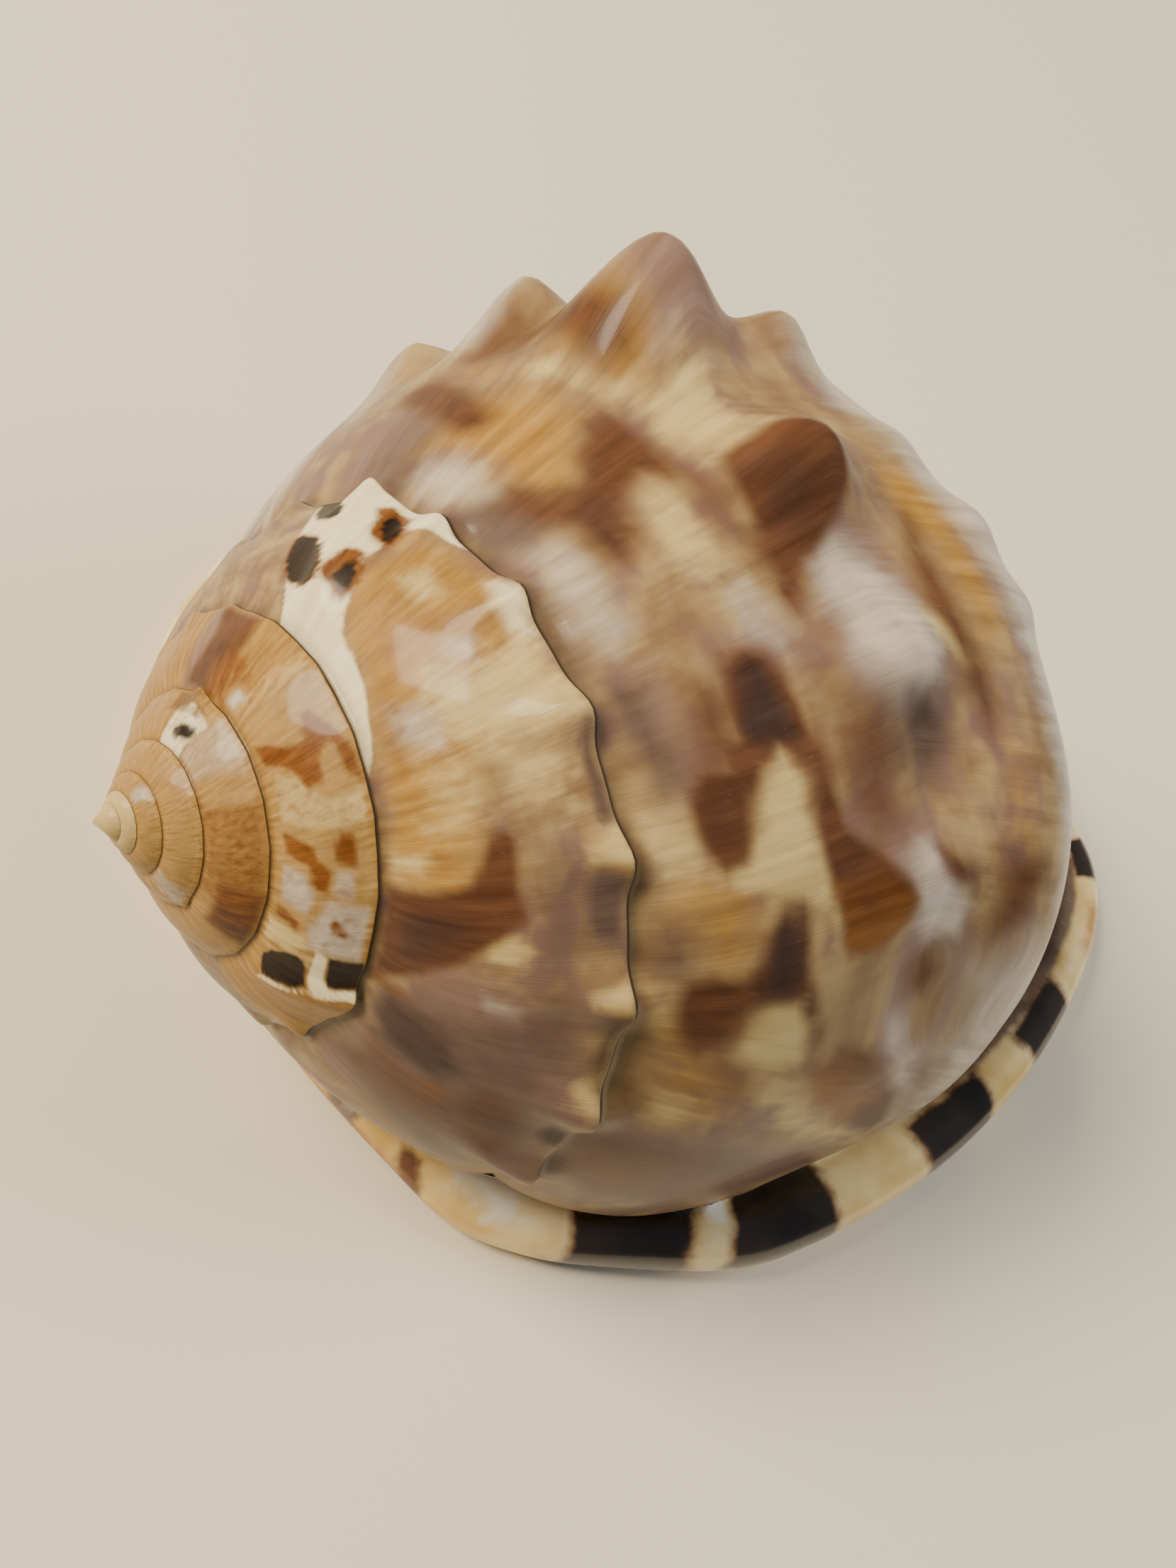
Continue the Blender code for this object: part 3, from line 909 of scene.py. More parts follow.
def fuse(name: str, first: Solid, steps: list[tuple[Solid, Fusion]]) -> bpy.types.Object:
    """Fuse solids one after another, as one grown surface.

    Args:
        name: the finished object's name.
        first: the solid that the others are fused with.
        steps: each other solid, and whether it is added or cut away.

    Returns:
        The fused object, with no modifier left on it.
    """
    grown = as_object(name, first)
    helpers = []
    for solid, way in steps:
        helper = as_object(f"{name}_{solid.region.name.lower()}", solid)
        helpers.append(helper)
        cut = grown.modifiers.new(helper.name, "BOOLEAN")
        cut.operation = way.value
        cut.solver = "MANIFOLD"
        cut.object = helper
    mesh = evaluated_copy(grown)
    grown.modifiers.clear()
    old = grown.data
    grown.data = mesh
    mesh.name = name
    bpy.data.meshes.remove(old)
    for helper in helpers:
        data = helper.data
        bpy.data.objects.remove(helper, do_unlink=True)
        bpy.data.meshes.remove(data)
    return grown


def read_all(items: bpy.types.bpy_prop_collection, name: str, width: int, kind: type) -> Array:
    """Read one property of every item of a mesh.

    Args:
        items: the mesh's points, edges, faces, corners or attribute values.
        name: the property.
        width: how many numbers it has.
        kind: what the numbers are.

    Returns:
        One row for each item, or one number where the property has only one.
    """
    values = np.empty(len(items) * width, dtype=kind)
    items.foreach_get(name, values)
    return values.reshape(-1, width) if width > 1 else values


@dataclass
class Surface:
    """Arrays of a mesh, read once and written back together.

    Fields:
        mesh: the mesh that they come from.
        places: the points' places.
        corner_point: the point at each face corner.
        corner_growth: its growth coordinates.
        corner_region: region of the face that it belongs to.
        edges: both points of each edge.
    """

    mesh: bpy.types.Mesh
    places: Array = field(init=False)
    corner_point: Array = field(init=False)
    corner_growth: Array = field(init=False)
    corner_region: Array = field(init=False)
    edges: Array = field(init=False)

    def __post_init__(self) -> None:
        """Read the arrays from the mesh."""
        mesh = self.mesh
        self.places = read_all(mesh.vertices, "co", 3, np.float32).astype(float)
        self.corner_point = read_all(mesh.loops, "vertex_index", 1, np.int32)
        growth = mesh.uv_layers["growth"].data
        self.corner_growth = read_all(growth, "uv", 2, np.float32).astype(float)
        region = read_all(mesh.attributes["region"].data, "value", 1, np.int32)
        self.corner_region = np.repeat(region, read_all(mesh.polygons, "loop_total", 1, np.int32))
        self.edges = read_all(mesh.edges, "vertices", 2, np.int32)

    def soften_joins(self, rings: int, rounds: int) -> None:
        """Round the lines where one solid meets the next.

        Args:
            rings: how many rows of points beside the line move.
            rounds: how many times they are averaged.
        """
        count = len(self.places)
        low = np.full(count, len(Region) + 1)
        high = np.zeros(count, dtype=int)
        np.minimum.at(low, self.corner_point, self.corner_region)
        np.maximum.at(high, self.corner_point, self.corner_region)
        weight = (low != high).astype(float)
        a, b = self.edges[:, 0], self.edges[:, 1]
        for ring in range(1, rings + 1):
            spread = np.zeros(count)
            np.maximum.at(spread, a, weight[b])
            np.maximum.at(spread, b, weight[a])
            weight = np.maximum(weight, spread * (1.0 - 1.0 / (rings + 1)))
        degree = np.zeros(count)
        np.add.at(degree, a, 1.0)
        np.add.at(degree, b, 1.0)
        weight = np.where(self.places[:, 2] < RESTING_HEIGHT, 0.0, weight)
        for _ in range(rounds):
            total = np.zeros((count, 3))
            np.add.at(total, a, self.places[b])
            np.add.at(total, b, self.places[a])
            mean = total / np.maximum(degree, 1.0)[:, None]
            self.places += (mean - self.places) * weight[:, None] * 0.5
        self.mesh.vertices.foreach_set("co", self.places.astype(np.float32).ravel())
        self.mesh.update()

    def write(self, name: str, values: Array) -> None:
        """Keep three numbers for each corner under a name that materials read.

        Args:
            name: the attribute's name.
            values: one row of three for each corner.
        """
        layer = self.mesh.attributes.new(name, "FLOAT_VECTOR", "CORNER")
        layer.data.foreach_set("vector", values.astype(np.float32).ravel())


# Attributes that keep the pigments, three to each, in the pigments' order.
FIELD_NAMES = ("warm", "cool", "dark", "bright")


@dataclass(frozen=True)
class Mark:
    """Patch of one pigment, outlined in growth coordinates.

    Fields:
        pigment: what it is coloured with.
        outline: growth angle and share of each corner, one corner after another.
        strength: how full the colour gets.
        soft: how far its edge fades, in degrees.
        grow: how far it spreads past its outline, in degrees.
    """

    pigment: Pigment
    outline: Outline
    strength: float = 1.0
    soft: float = 3.0
    grow: float = 0.0


def block(left: float, right: float, top: float, bottom: float) -> Outline:
    """Outline that follows the growth lines and the sutures."""
    return (left, top, right, top, right, bottom, left, bottom)


def marks(pigment: Pigment, rows: tuple[tuple, ...]) -> tuple[Mark, ...]:
    """Marks of one pigment, each row an outline and then its strength, soft and grow."""
    return tuple(Mark(pigment, *row) for row in rows)


def span(share: Array) -> Array:
    """Length down the whorl, in degrees, of a share on the ramp or on the side."""
    share = np.asarray(share, dtype=float)
    return RAMP_SPAN * np.minimum(share, 1.0) + SIDE_SPAN * np.maximum(share - 1.0, 0.0)


def inside_distance(spots: Array, corners: Array) -> Array:
    """Distance to a closed outline, positive inside it.

    Args:
        spots: one row of two coordinates for each place.
        corners: one row for each corner of the outline.

    Returns:
        One distance for each place.
    """
    nearest = np.full(len(spots), np.inf)
    within = np.zeros(len(spots), dtype=bool)
    for a, b in zip(corners, np.roll(corners, -1, axis=0)):
        edge = b - a
        away = spots - a
        t = np.clip(away @ edge / max(edge @ edge, 1e-9), 0.0, 1.0)
        nearest = np.minimum(nearest, np.hypot(*(away - t[:, None] * edge).T))
        crosses = (a[1] > spots[:, 1]) != (b[1] > spots[:, 1])
        rise = edge[1] if abs(edge[1]) > 1e-9 else 1e-9
        within ^= crosses & (spots[:, 0] < a[0] + edge[0] * (spots[:, 1] - a[1]) / rise)
    return np.where(within, nearest, -nearest)


# Last whorl: the big brown flames between the suture and the shoulder.
FLAMES = marks(Pigment.BROWN, (
    ((-22, .3, -15, .27, -6, .26, -3, .31, -5, .37, -10, .42, -13, .47, -15, .55, -13, .6, -3, .62,
      -2, .69, -10, .7, -20, .68, -28, .66, -29, .58, -26, .5, -24, .42, -20, .38), .8),
    ((-14, .76, -9, .73, -4, .75, 0, .8, 1, .88, -1, .96, -6, 1.03, -13, 1.03, -15, .94, -14, .86), 1,
      2),
    ((-7, .68, 2, .68, 6, .74, 3, .82, 0, .86, -3, .78), .75),
    ((10, .45, 13, .42, 20, .38, 24, .32, 24, .24, 28, .21, 34, .22, 37, .28, 35, .35, 30, .38, 25, .43,
      22.5, .5, 25, .555, 33, .575, 40, .6, 46, .655, 49, .7, 48, .78, 46, .86, 43, .885, 39, .84,
      36, .78, 33, .68, 24, .63, 15, .59, 10, .56), 1, 2),
    ((8, .62, 20, .66, 34, .68, 37, .8, 30, .86, 20, .8, 12, .76), .52, 4),
    ((40, .45, 43, .41, 48, .38, 51, .33, 50, .26, 51, .17, 55, .14, 61, .17, 63, .24, 60, .3, 55, .36,
      53.5, .42, 54, .5, 57, .54, 63, .595, 60, .63, 54, .59, 50, .54, 43, .52, 40, .49), .9, 2),
    ((55, .02, 74, 0, 76, .1, 74, .15, 66, .15, 61, .1, 56, .05), .6),
    ((60, .3, 64, .26, 70, .34, 74, .5, 68, .5, 62, .4), .5, 4),
    ((28, 0, 40, 0, 38, .05, 30, .05), .85),
    ((50, .96, 53, .92, 57, .95, 58, 1.02, 54, 1.04, 50, 1.01), .9),
    ((77, .03, 99, .03, 99, 1.1, 94, 1.1, 88, .95, 83, .72, 79, .42), .55, 4),
    ((-60, .44, -50, .36, -44, .32, -38, .33, -37, .42, -44, .5, -52, .56, -60, .56), .9, 3),
    ((12, .24, 26, .2, 30, .3, 24, .41, 14, .45, 9, .36), .66, 4),
    ((-42, .76, -38, .71, -33, .72, -30, .76, -31, .8, -35, .85, -40, .83), .8),
    ((-56, .68, -48, .66, -43, .7, -45, .85, -50, .95, -56, .92), .6),
    ((-4, 1.1, 8, 1.06, 20, 1.08, 26, 1.1, 22, 1.13, 6, 1.12, -4, 1.14), .75),
    ((36, .95, 40, .99, 44, 1.07, 40, 1.06, 36, 1.0), .85, 2),
    ((37, 1.1, 44, 1.1, 51, 1.1, 48, 1.17, 39, 1.19), .75, 4),
    ((17, .71, 17.5, .86, 23, .95, 31, .94, 38, .93, 36, .76, 31, .64, 24, .62, 20, .64), .62, 5),
    ((-6, .72, -4, .94, 1, .88, 5, .8, 8, .73, 6, .67, 0, .7), .85, 3),
    ((62, .72, 67, .68, 73, .8, 81, .95, 90, 1.1, 86, 1.12, 78, 1.08, 70, .98, 64, .86), 1, 3),
    ((-30, .62, -18, .62, -4, .64, -2, .7, -16, .72, -28, .68), .55, 4),
    ((-55, .96, -46, .78, -40, .66, -46, .62, -56, .62), .62, 4),
    ((4, .26, 22, .28, 12, .4, 8, .46, 2, .44), .42, 5),
    ((-26, .22, -20, .31, -13, .43, -8, .46, -5, .42, -9, .33, -15, .2, -22, .16), .85, 4),
    ((-48, .86, -40, .86, -33, .76, -30, .68, -36, .67, -43, .7, -48, .78), .85, 3),
)) + marks(Pigment.DUSK, (
    ((-16, .3, -8, .28, -6, .33, -10, .4, -15, .43, -18, .36), .6),
    ((-11, .78, -5, .77, -2, .82, -2, .92, -8, .97, -11, .86), .5, 2.5),
    ((11, .47, 14, .43, 19, .4, 22, .42, 22, .47, 22.5, .53, 22, .57, 16, .56, 11, .55), .95, 2),
    ((25, .28, 30, .24, 34, .26, 33, .33, 27, .39, 24, .36), .6, 4),
    ((38, .64, 44, .68, 45, .76, 42, .8, 38, .74), .55, 4),
    ((41, .45, 43, .42, 47, .4, 53, .385, 54, .4, 53, .47, 53, .505, 50, .52, 45, .505, 41, .49), .9,
      2),
)) + marks(Pigment.SHADE, (
    ((-25, .02, -14, .02, -12, .12, -13, .28, -21, .28, -26, .14), .75),
    ((-53, .1, -42, .1, -40, .2, -46, .25, -53, .2), .7),
    # Painted shade under the shoulder knob at growth angle 14, in grey-brown.
    ((19, .8, 23, .76, 30, .8, 32, .9, 30, 1.02, 22, 1.05, 19, .98), .66, 6),
    ((76, .2, 84, .2, 90, .5, 86, .7, 80, .5), .45, 5),
    ((42, .08, 50, .06, 53, .14, 50, .22, 45, .18), .7),
    ((8, .06, 20, .07, 29, .13, 25, .22, 12, .2), .8),
    ((-8, 0, 10, 0, 20, .04, 12, .1, -6, .08), .7, 4),
    ((-52, .05, -41, .04, -40, .11, -50, .13), .9),
    # Painted shade under the shoulder knob at growth angle 14, darker and smaller.
    ((18, .93, 18, 1.02, 24, 1.05, 29, 1.02, 30, .98, 23, .94), .95, 3),
    ((-56, 0, -42, 0, -40, .1, -43, .36, -50, .5, -56, .56), .52, 5),
)) + marks(Pigment.RUST, (
    ((40, .6, 46, .65, 49.5, .71, 48.5, .8, 45, .89, 41, .85, 38, .76), .9, 2),
    ((62, .6, 68, .63, 73, .7, 77, .8, 81, .9, 84, 1.0, 81, 1.03, 75, .99, 70, .9, 67, .8, 64, .7),
      .75),
    ((88, .12, 98, .12, 98, .3, 90, .3), .6, 4),
    ((63, .74, 67, .7, 73, .82, 81, .97, 78, 1.06, 70, .96), .7, 3),
    ((52, .3, 60, .26, 64, .34, 58, .46, 52, .44), .4, 4),
))

# Last whorl: gold, cream, pale and lilac patches between the flames.
PATCHES = marks(Pigment.CREAM, (
    ((22.5, .51, 26, .43, 31, .39, 36, .34, 37, .28, 39, .3, 41, .42, 40, .52, 43, .6, 46, .64, 40, .59,
      32, .565, 25, .55), .9, 2),
    ((53.8, .49, 54.5, .41, 57, .37, 62, .33, 64, .42, 64, .55, 68, .62, 62, .585, 57, .54), 1, 2),
    ((66, .46, 70, .44, 73, .55, 78, .7, 83, .85, 87, 1.0, 92, 1.12, 86, 1.08, 82, .95, 77, .8,
      72, .66), .75),
    ((28, .07, 36, .04, 38, .1, 37, .2, 31, .22, 28, .16), .85),
    ((53, .06, 58, .07, 58, .14, 54, .14), .7),
    ((69, .16, 76, .16, 76, .26, 71, .27), .85),
    ((-13, .5, -10, .46, -4, .44, 1, .5, -1, .6, -12, .61), .9),
    ((-44, .6, -38, .6, -31, .64, -27, .7, -24, .76, -28, .74, -33, .68, -40, .64), .95, 2),
    ((-30, .72, -22, .7, -14, .72, -13, .85, -14, .98, -22, 1.0, -30, .95, -28, .84), .75),
    ((9, 1.05, 12, 1.04, 17, 1.09, 16, 1.11, 10, 1.08), .95, 1.5),
)) + marks(Pigment.PALE, (
    ((-100, .12, -82, .12, -78, .3, -80, .7, -100, .7), .8, 5),
    ((-72, .48, -69, .5, -75, .8, -78, 1.0, -80, .8), .8),
    ((-60, .78, -57, .7, -55, .74, -55.5, .9, -56, 1.0, -60, 1.0), .9, 2),
    ((3, .54, 10, .53, 12, .64, 6, .68, 2, .62), .6),
    ((-13, .12, -6, .1, 4, .1, 8, .16, 4, .24, -6, .25, -12, .2), .65),
    ((-40, .1, -32, .06, -24, .12, -24, .2, -34, .25, -41, .2), .7),
    ((-2, .95, 1, .88, 5, .84, 12, .82, 17, .84, 20, .92, 20, 1.02, 12, 1.05, 2, 1.04), .75),
    ((35, .9, 38, .87, 43, .87, 46, .93, 49, 1.0, 49, 1.05, 44, 1.05, 40, 1.0, 36, .97), .8, 2),
    ((60, .9, 65, .9, 66, .98, 62, 1.0), .6),
    ((-34, 1.14, 0, 1.2, 38, 1.22, 50, 1.24, 40, 1.3, 20, 1.33, -20, 1.3, -34, 1.22), .8, 4),
    # Painted highlight on the top of the shoulder knob at growth angle 14.
    ((13, .93, 17, .92, 17.5, 1.0, 13, 1.0), .8, 2),
    ((52, 1.06, 66, 1.1, 80, 1.14, 92, 1.16, 104, 1.14, 112, 1.2, 112, 1.4, 52, 1.4), .62, 6),
    ((64, .98, 72, 1.08, 82, 1.12, 90, 1.16, 86, 1.08, 78, 1.0), .6, 3),
)) + marks(Pigment.GOLD, (
    ((-75, .7, -68, .66, -66, .8, -72, .92), .7),
    ((-53, .56, -46, .55, -45, .64, -52, .66), .8),
    ((36, .12, 42, .1, 46, .2, 52, .22, 51, .3, 46, .36, 38, .38, 37, .25), .65),
    ((51, .04, 60, .05, 61, .14, 76, .14, 77, .24, 74, .32, 72, .44, 66, .48, 62, .3, 56, .16), .6),
    ((-42, .24, -34, .24, -22, .23, -18, .32, -20, .4, -25, .48, -28, .58, -36, .56, -42, .5, -45, .4),
      .85, 4),
    ((-44, .72, -38, .68, -30, .7, -27, .76, -31, .86, -38, .87, -44, .84), .85),
    ((-9, 1.12, 0, 1.11, 2, 1.16, -2, 1.2, -9, 1.18), .95, 2),
    ((-10, 1.13, 4, 1.13, 14, 1.13, 14, 1.17, 2, 1.19, -10, 1.18), .8, 3),
    ((24, 1.12, 36, 1.12, 40, 1.15, 28, 1.16), .6, 3),
)) + marks(Pigment.LILAC, (
    ((-4, .92, 1, .84, 8, .79, 16, .8, 21, .88, 22, 1.03, 12, 1.07, -2, 1.06), .9),
    ((33, .8, 38, .78, 41, .85, 46, .9, 50, .98, 51, 1.06, 45, 1.06, 39, 1.0, 33, .92), .9, 2),
    ((60, .88, 65, .87, 68, .95, 72, 1.02, 79, 1.08, 84, 1.14, 78, 1.13, 70, 1.08, 64, 1.02, 60, .98),
      .9),
    ((-40, .86, -30, .84, -27, .94, -30, 1.06, -38, 1.02), .8),
    ((-60, .03, -50, .05, -46, .1, -46, .38, -50, .44, -58, .44), .75),
    ((10, .14, 20, .12, 30, .18, 28, .26, 16, .27, 9, .24), .75),
    ((76, 0, 99, 0, 99, 1.2, 96, 1.2, 90, 1.05, 84, .85, 79, .6, 76, .35), .8),
))

# Uppermost bar of the old lip on the whorl before the last.
UPPER_BAR = (-398.7, .25, -392, .2, -394, .3, -397, .4, -400, .5, -405, .59, -409, .59, -409, .5,
             -406, .38, -402.5, .3)

# Whorl before the last: ivory old lip with its bars, then flames and streaks, with painted shade
# # between the knob tips and in a hollow.
FIRST_SPIRE = marks(Pigment.IVORY, (
    ((-393, 0, -399, .2, -406, .4, -410, .6, -415, .8, -418, 1, -378, 1, -382, .95, -386, .88, -388, .8,
      -388, .6, -387, .5, -384, .4, -380, .28, -376, .2, -366, .16, -355, .11, -346, .05, -341, 0), 1,
      1.2),
    ((-371, .9, -366, .8, -358, .86, -357, 1, -370, 1), .62, 3),
    ((-368, 1, -366.5, .86, -363.5, .83, -361, 1), .75, 3),
)) + marks(Pigment.BAR, (
    (UPPER_BAR, 1, .9, .4),
    ((-415.6, .95, -413.8, .85, -411, .78, -407, .75, -406, .8, -408.8, .86, -409.4, 1, -417.5, 1), 1,
      1.2, 1),
    ((-389, .32, -384.2, .33, -385, .4, -387.5, .48, -389, .52, -389.4, .4), 1, .9, .2),
    ((-393.5, .8, -389.8, .71, -388.2, .73, -388.4, .8, -390.8, .87, -393.5, .89), 1, .9, .2),
)) + marks(Pigment.RUST, (
    (UPPER_BAR, .9, 1.2, 1),
    ((-391, .28, -383.5, .31, -384, .4, -387, .52, -389.5, .57, -392, .45), 1, 1.2, 1),
    ((-392.5, .7, -387.8, .69, -387.8, .8, -390.6, .91, -394.5, .92, -396, .85), 1, 1.5, .8),
    ((-382, .46, -372, .3, -350, .12, -340, .14, -356, .3, -368, .5, -376, .66), .36, 4),
    ((-366, .19, -345, .11, -338, .18, -350, .3, -362, .3), .5, 4),
    ((-371, .42, -364, .44, -361, .62, -363, .8, -369, .8), .42, 4),
    ((-292, .04, -289, .03, -289, .2, -292, .22), .7, 2),
    ((-277, .44, -272, .34, -270, .4, -274, .56), .6, 2),
)) + marks(Pigment.GOLD, (
    ((-387, .3, -374, .22, -345, .08, -316, .04, -316, .4, -336, .5, -348, .7, -350, .92, -372, .97,
      -386, .88), .85, 4),
    ((-329, .86, -324, .86, -323, 1, -328, 1), 1, 1.5),
)) + marks(Pigment.PALE, (
    ((-363, .58, -360, .56, -358, .68, -362, .72), .8, 2),
    ((-355, .2, -346, .18, -344, .4, -352, .42), .75, 3),
    ((-300, .48, -297, .48, -297, .64, -300, .62), .6, 2),
    ((-272, .06, -262, .06, -258, .3, -262, .5, -270, .3), .5, 4),
)) + marks(Pigment.SHADE, (
    # Painted shade between two knob tips at the lower suture of this whorl.
    ((-345, .95, -336, .93, -329, .92, -330, 1, -345, 1), .9, 1.5),
    ((-331, .62, -304, .62, -290, .4, -288, .9, -305, .86, -331, .9), .55, 5),
    ((-296, .06, -256, 0, -252, .5, -254, .96, -284, .9, -300, .7, -298, .4), .62, 6),
    # Painted shade between two knob tips at the lower suture of this whorl.
    ((-325, .85, -313, .84, -312, 1, -324, 1), .95, 2.5),
    # Painted shade: a dark patch that stands for the hollow beside the shield, which the shape itself
    # doesn't have.
    ((-260, .56, -255, .56, -252, .7, -253, .82, -257, .87, -261, .82, -262.5, .74, -261, .66), 1, 2),
)) + marks(Pigment.CREAM, (
    ((-380, .6, -372, .6, -371, .74, -379, .76), .9),
    ((-359, .4, -346, .4, -343, .5, -344, .98, -360, .98, -357, .6), .85, 4),
    ((-323, .06, -319, .06, -320, .2, -324, .24), .9, 2),
    ((-345, .24, -330, .22, -322, .34, -330, .44, -331, .9, -346, .92), .55, 5),
    ((-312.5, .47, -307.5, .44, -306.5, .6, -311, .65), 1, 2),
    ((-354, 1, -351, .88, -346, .9, -345, 1), .85, 3),
    ((-330, 1, -327, .85, -324.5, .84, -324.5, 1), 1, 1.5),
    ((-309, 1, -306.5, .86, -304.5, .84, -304, 1), 1, 1.5),
    ((-293, 1, -289, .88, -286.5, .86, -286, 1), .9, 2),
    ((-296, .03, -291, .04, -292, .2, -296, .18), .7, 2),
)) + marks(Pigment.BROWN, (
    ((-345, .46, -330, .44, -329, .62, -340, .66), .5, 4),
    ((-315, .03, -288, .03, -294, .14, -300, .25, -307, .42, -311, .52, -315, .62, -320, .59, -329, .6,
      -330, .5, -320, .4, -317, .25), 1, 2.5),
    ((-276, .12, -258, .03, -258, .4, -266, .7, -276, .7), .6, 5),
    ((-282, .6, -274, .52, -266, .6, -264, .8, -272, .86, -282, .78), .75, 4),
)) + marks(Pigment.DUSK, (
    ((-311, .08, -296, .08, -300, .2, -308, .38, -313, .46, -314, .25), .7, 4),
    # Painted shade between two knob tips at the lower suture of this whorl.
    ((-303, .9, -289, .96, -288, 1, -306, 1), .8, 2.5),
    ((-290, .1, -282, .05, -276, .15, -276, .42, -282, .52, -289, .4), .72, 3),
    # Painted shade between two knob tips at the lower suture of this whorl.
    ((-280, .9, -276, .88, -273, .94, -274, 1, -280, 1), .95, 1.5),
)) + marks(Pigment.LILAC, (
    ((-304, .3, -288, .12, -250, .05, -250, 1, -304, .9), .8, 5),
))

# Second whorl before the last: orange-brown mottling and a narrow old lip.
SECOND_SPIRE = marks(Pigment.GOLD, (
    (block(-792, -600, -.1, 1.1), .8, 3),
    ((-748, .2, -722, .1, -720, .9, -745, .95), .7, 4),
    ((-684, .84, -672, .84, -670, .98, -682, .98), .8, 2),
)) + marks(Pigment.CREAM, (
    (block(-740, -640, .1, .98), .42, 3),
    ((-708, .18, -690, .16, -688, .5, -690, .95, -699, .95, -698, .6, -706, .4), .9, 2),
    ((-652, .06, -640, .08, -645, .3, -648, .5, -654, .5), .9, 2),
)) + marks(Pigment.RUST, (
    (block(-735, -650, .1, .95), .36, 3),
    ((-760, 0, -742, 0, -746, .2, -740, .4, -750, .6, -762, .5), .65, 4),
    ((-721, .08, -711, .12, -708, .35, -700, .48, -701, .64, -709, .68, -712, .8, -702, .86, -701, .98,
      -708, .98, -716, .88, -724, .76, -724, .64, -715, .58, -716, .4), .85, 2),
    ((-687, .15, -679, .16, -677, .38, -670, .45, -669, .58, -677, .62, -680, .5, -685, .42), .9, 2),
    ((-689, .7, -684, .64, -679, .66, -679, .83, -688, .84), 1, 2),
    ((-660, .12, -654, .1, -653, .36, -658, .38), .8, 2),
    ((-664, .64, -658, .62, -657, .8, -662, .8), .8, 2),
)) + marks(Pigment.LILAC, (
    ((-778, 0, -762, 0, -760, .98, -782, .98), .7),
)) + marks(Pigment.BROWN, (
    ((-775, .05, -756, .02, -752, .5, -758, .98, -778, .98, -772, .6), .7),
)) + marks(Pigment.DUSK, (
    ((-768, .42, -760, .42, -759, .6, -767, .6), .5),
)) + marks(Pigment.PALE, (
    ((-745, .1, -739, .1, -738, .28, -744, .3), .8, 2),
    ((-675, .16, -662, .14, -661, .42, -668, .46, -674, .36), .9, 2),
    ((-668, .6, -656, .45, -650, .5, -652, .95, -668, .95), .9, 2),
    ((-678, .66, -670, .64, -670, .8, -677, .8), .8, 2),
)) + marks(Pigment.IVORY, (
    ((-650, .56, -637, .6, -638, .74, -650, .68), .95, 1.5),
    ((-627, .16, -623, .16, -630, .4, -635, .6, -638, .8, -640, 1, -643, 1, -640, .74, -636, .58,
      -631, .36), .9, 1.2),
)) + marks(Pigment.BAR, (
    ((-627.4, .17, -630, .3, -633.8, .5, -636.4, .58, -642, .55, -644.7, .48, -643.5, .35, -638.3, .2,
      -633.8, .15), 1, 1.5),
    ((-650, .7, -640.3, .75, -641.5, .9, -643.5, 1, -652.5, 1, -651, .85), 1, 1.5),
))

# Older whorls up to the apex.
THIRD_SPIRE = marks(Pigment.GOLD, (
    (block(-2050, -792, -.1, 1.1), .85, 4),
    (block(-1080, -1060, 0, 1), .8, 5),
    (block(-1330, -1140, 0, 1), .6, 8),
    (block(-2050, -1380, 0, 1), .6, 8),
)) + marks(Pigment.CREAM, (
    (block(-2050, -792, .1, .96), .4, 4),
    (block(-4000, -1980, -.1, 1.1), .9, 5),
)) + marks(Pigment.RUST, (
    (block(-2050, -792, .1, .9), .36, 4),
    (block(-1117, -1105, .55, .85), .6, 3),
    (block(-1062, -1000, 0, 1), .6, 6),
    (block(-1320, -1250, .1, .9), .5, 8),
)) + marks(Pigment.IVORY, (
    ((-1125, 0, -1100, 0, -1100, .7, -1112, .78, -1125, .7), .9, 3),
)) + marks(Pigment.BAR, (
    ((-1110, .12, -1104, .2, -1100, .35, -1101, .5, -1104, .58, -1107, .5, -1112, .4, -1120, .4,
      -1118, .25), .75, 3),
)) + marks(Pigment.BROWN, (
    (block(-1135, -1115, .55, 1), .6, 4),
    (block(-1020, -985, .3, 1), .8, 5),
)) + marks(Pigment.PALE, (
    (block(-1100, -1075, .05, .95), .5, 4),
    (block(-1352, -1332, .1, .9), .7, 4),
    (block(-1820, -1800, .2, .8), .8, 5),
))


def zigzag(turns: Array, downs: Array, wide: float, strength: float) -> Mark:
    """Brown flame that turns from side to side on its way down.

    Args:
        turns: growth angle of its middle at each turn.
        downs: share at each turn.
        wide: width in degrees.
        strength: how full the colour gets.

    Returns:
        The flame.
    """
    left = np.column_stack((turns - wide * 0.5, downs))
    right = np.column_stack((turns + wide * 0.5, downs))
    return Mark(Pigment.BROWN, tuple(np.concatenate((left, right[::-1])).ravel()), strength)


def hidden_flames() -> tuple[Mark, ...]:
    """Zigzag flames on the side and back, which the photograph doesn't show.

    Returns:
        One mark for each flame, and a pale one beside each flame of the side.
    """
    flames = []
    rng = np.random.default_rng(7)
    count = 7
    sway = np.where(np.arange(count) % 2 == 0, -1.0, 1.0)
    for at in np.arange(-236.0, -70.0, 21.0):
        lean = rng.uniform(4.0, 8.0)
        wide = rng.uniform(3.0, 5.0)
        downs = np.linspace(0.05, 1.0, count)
        flames.append(zigzag(at + lean * sway, downs, wide, rng.uniform(0.7, 0.95)))
    for at in np.arange(-238.0, 78.0, 22.0):
        lean = rng.uniform(3.0, 6.0)
        wide = rng.uniform(4.0, 6.0)
        downs = np.linspace(1.3 if at > -80 else 1.0, 1.85, count)
        turns = at + lean * sway + rng.uniform(-2.0, 2.0)
        flames.append(zigzag(turns, downs, wide, rng.uniform(0.6, 0.85)))
        beside = (at + 8, 1.3, at + 13, 1.35, at + 14, 1.6, at + 9, 1.5)
        flames.append(Mark(Pigment.PALE, beside, 0.5))
    return tuple(flames)


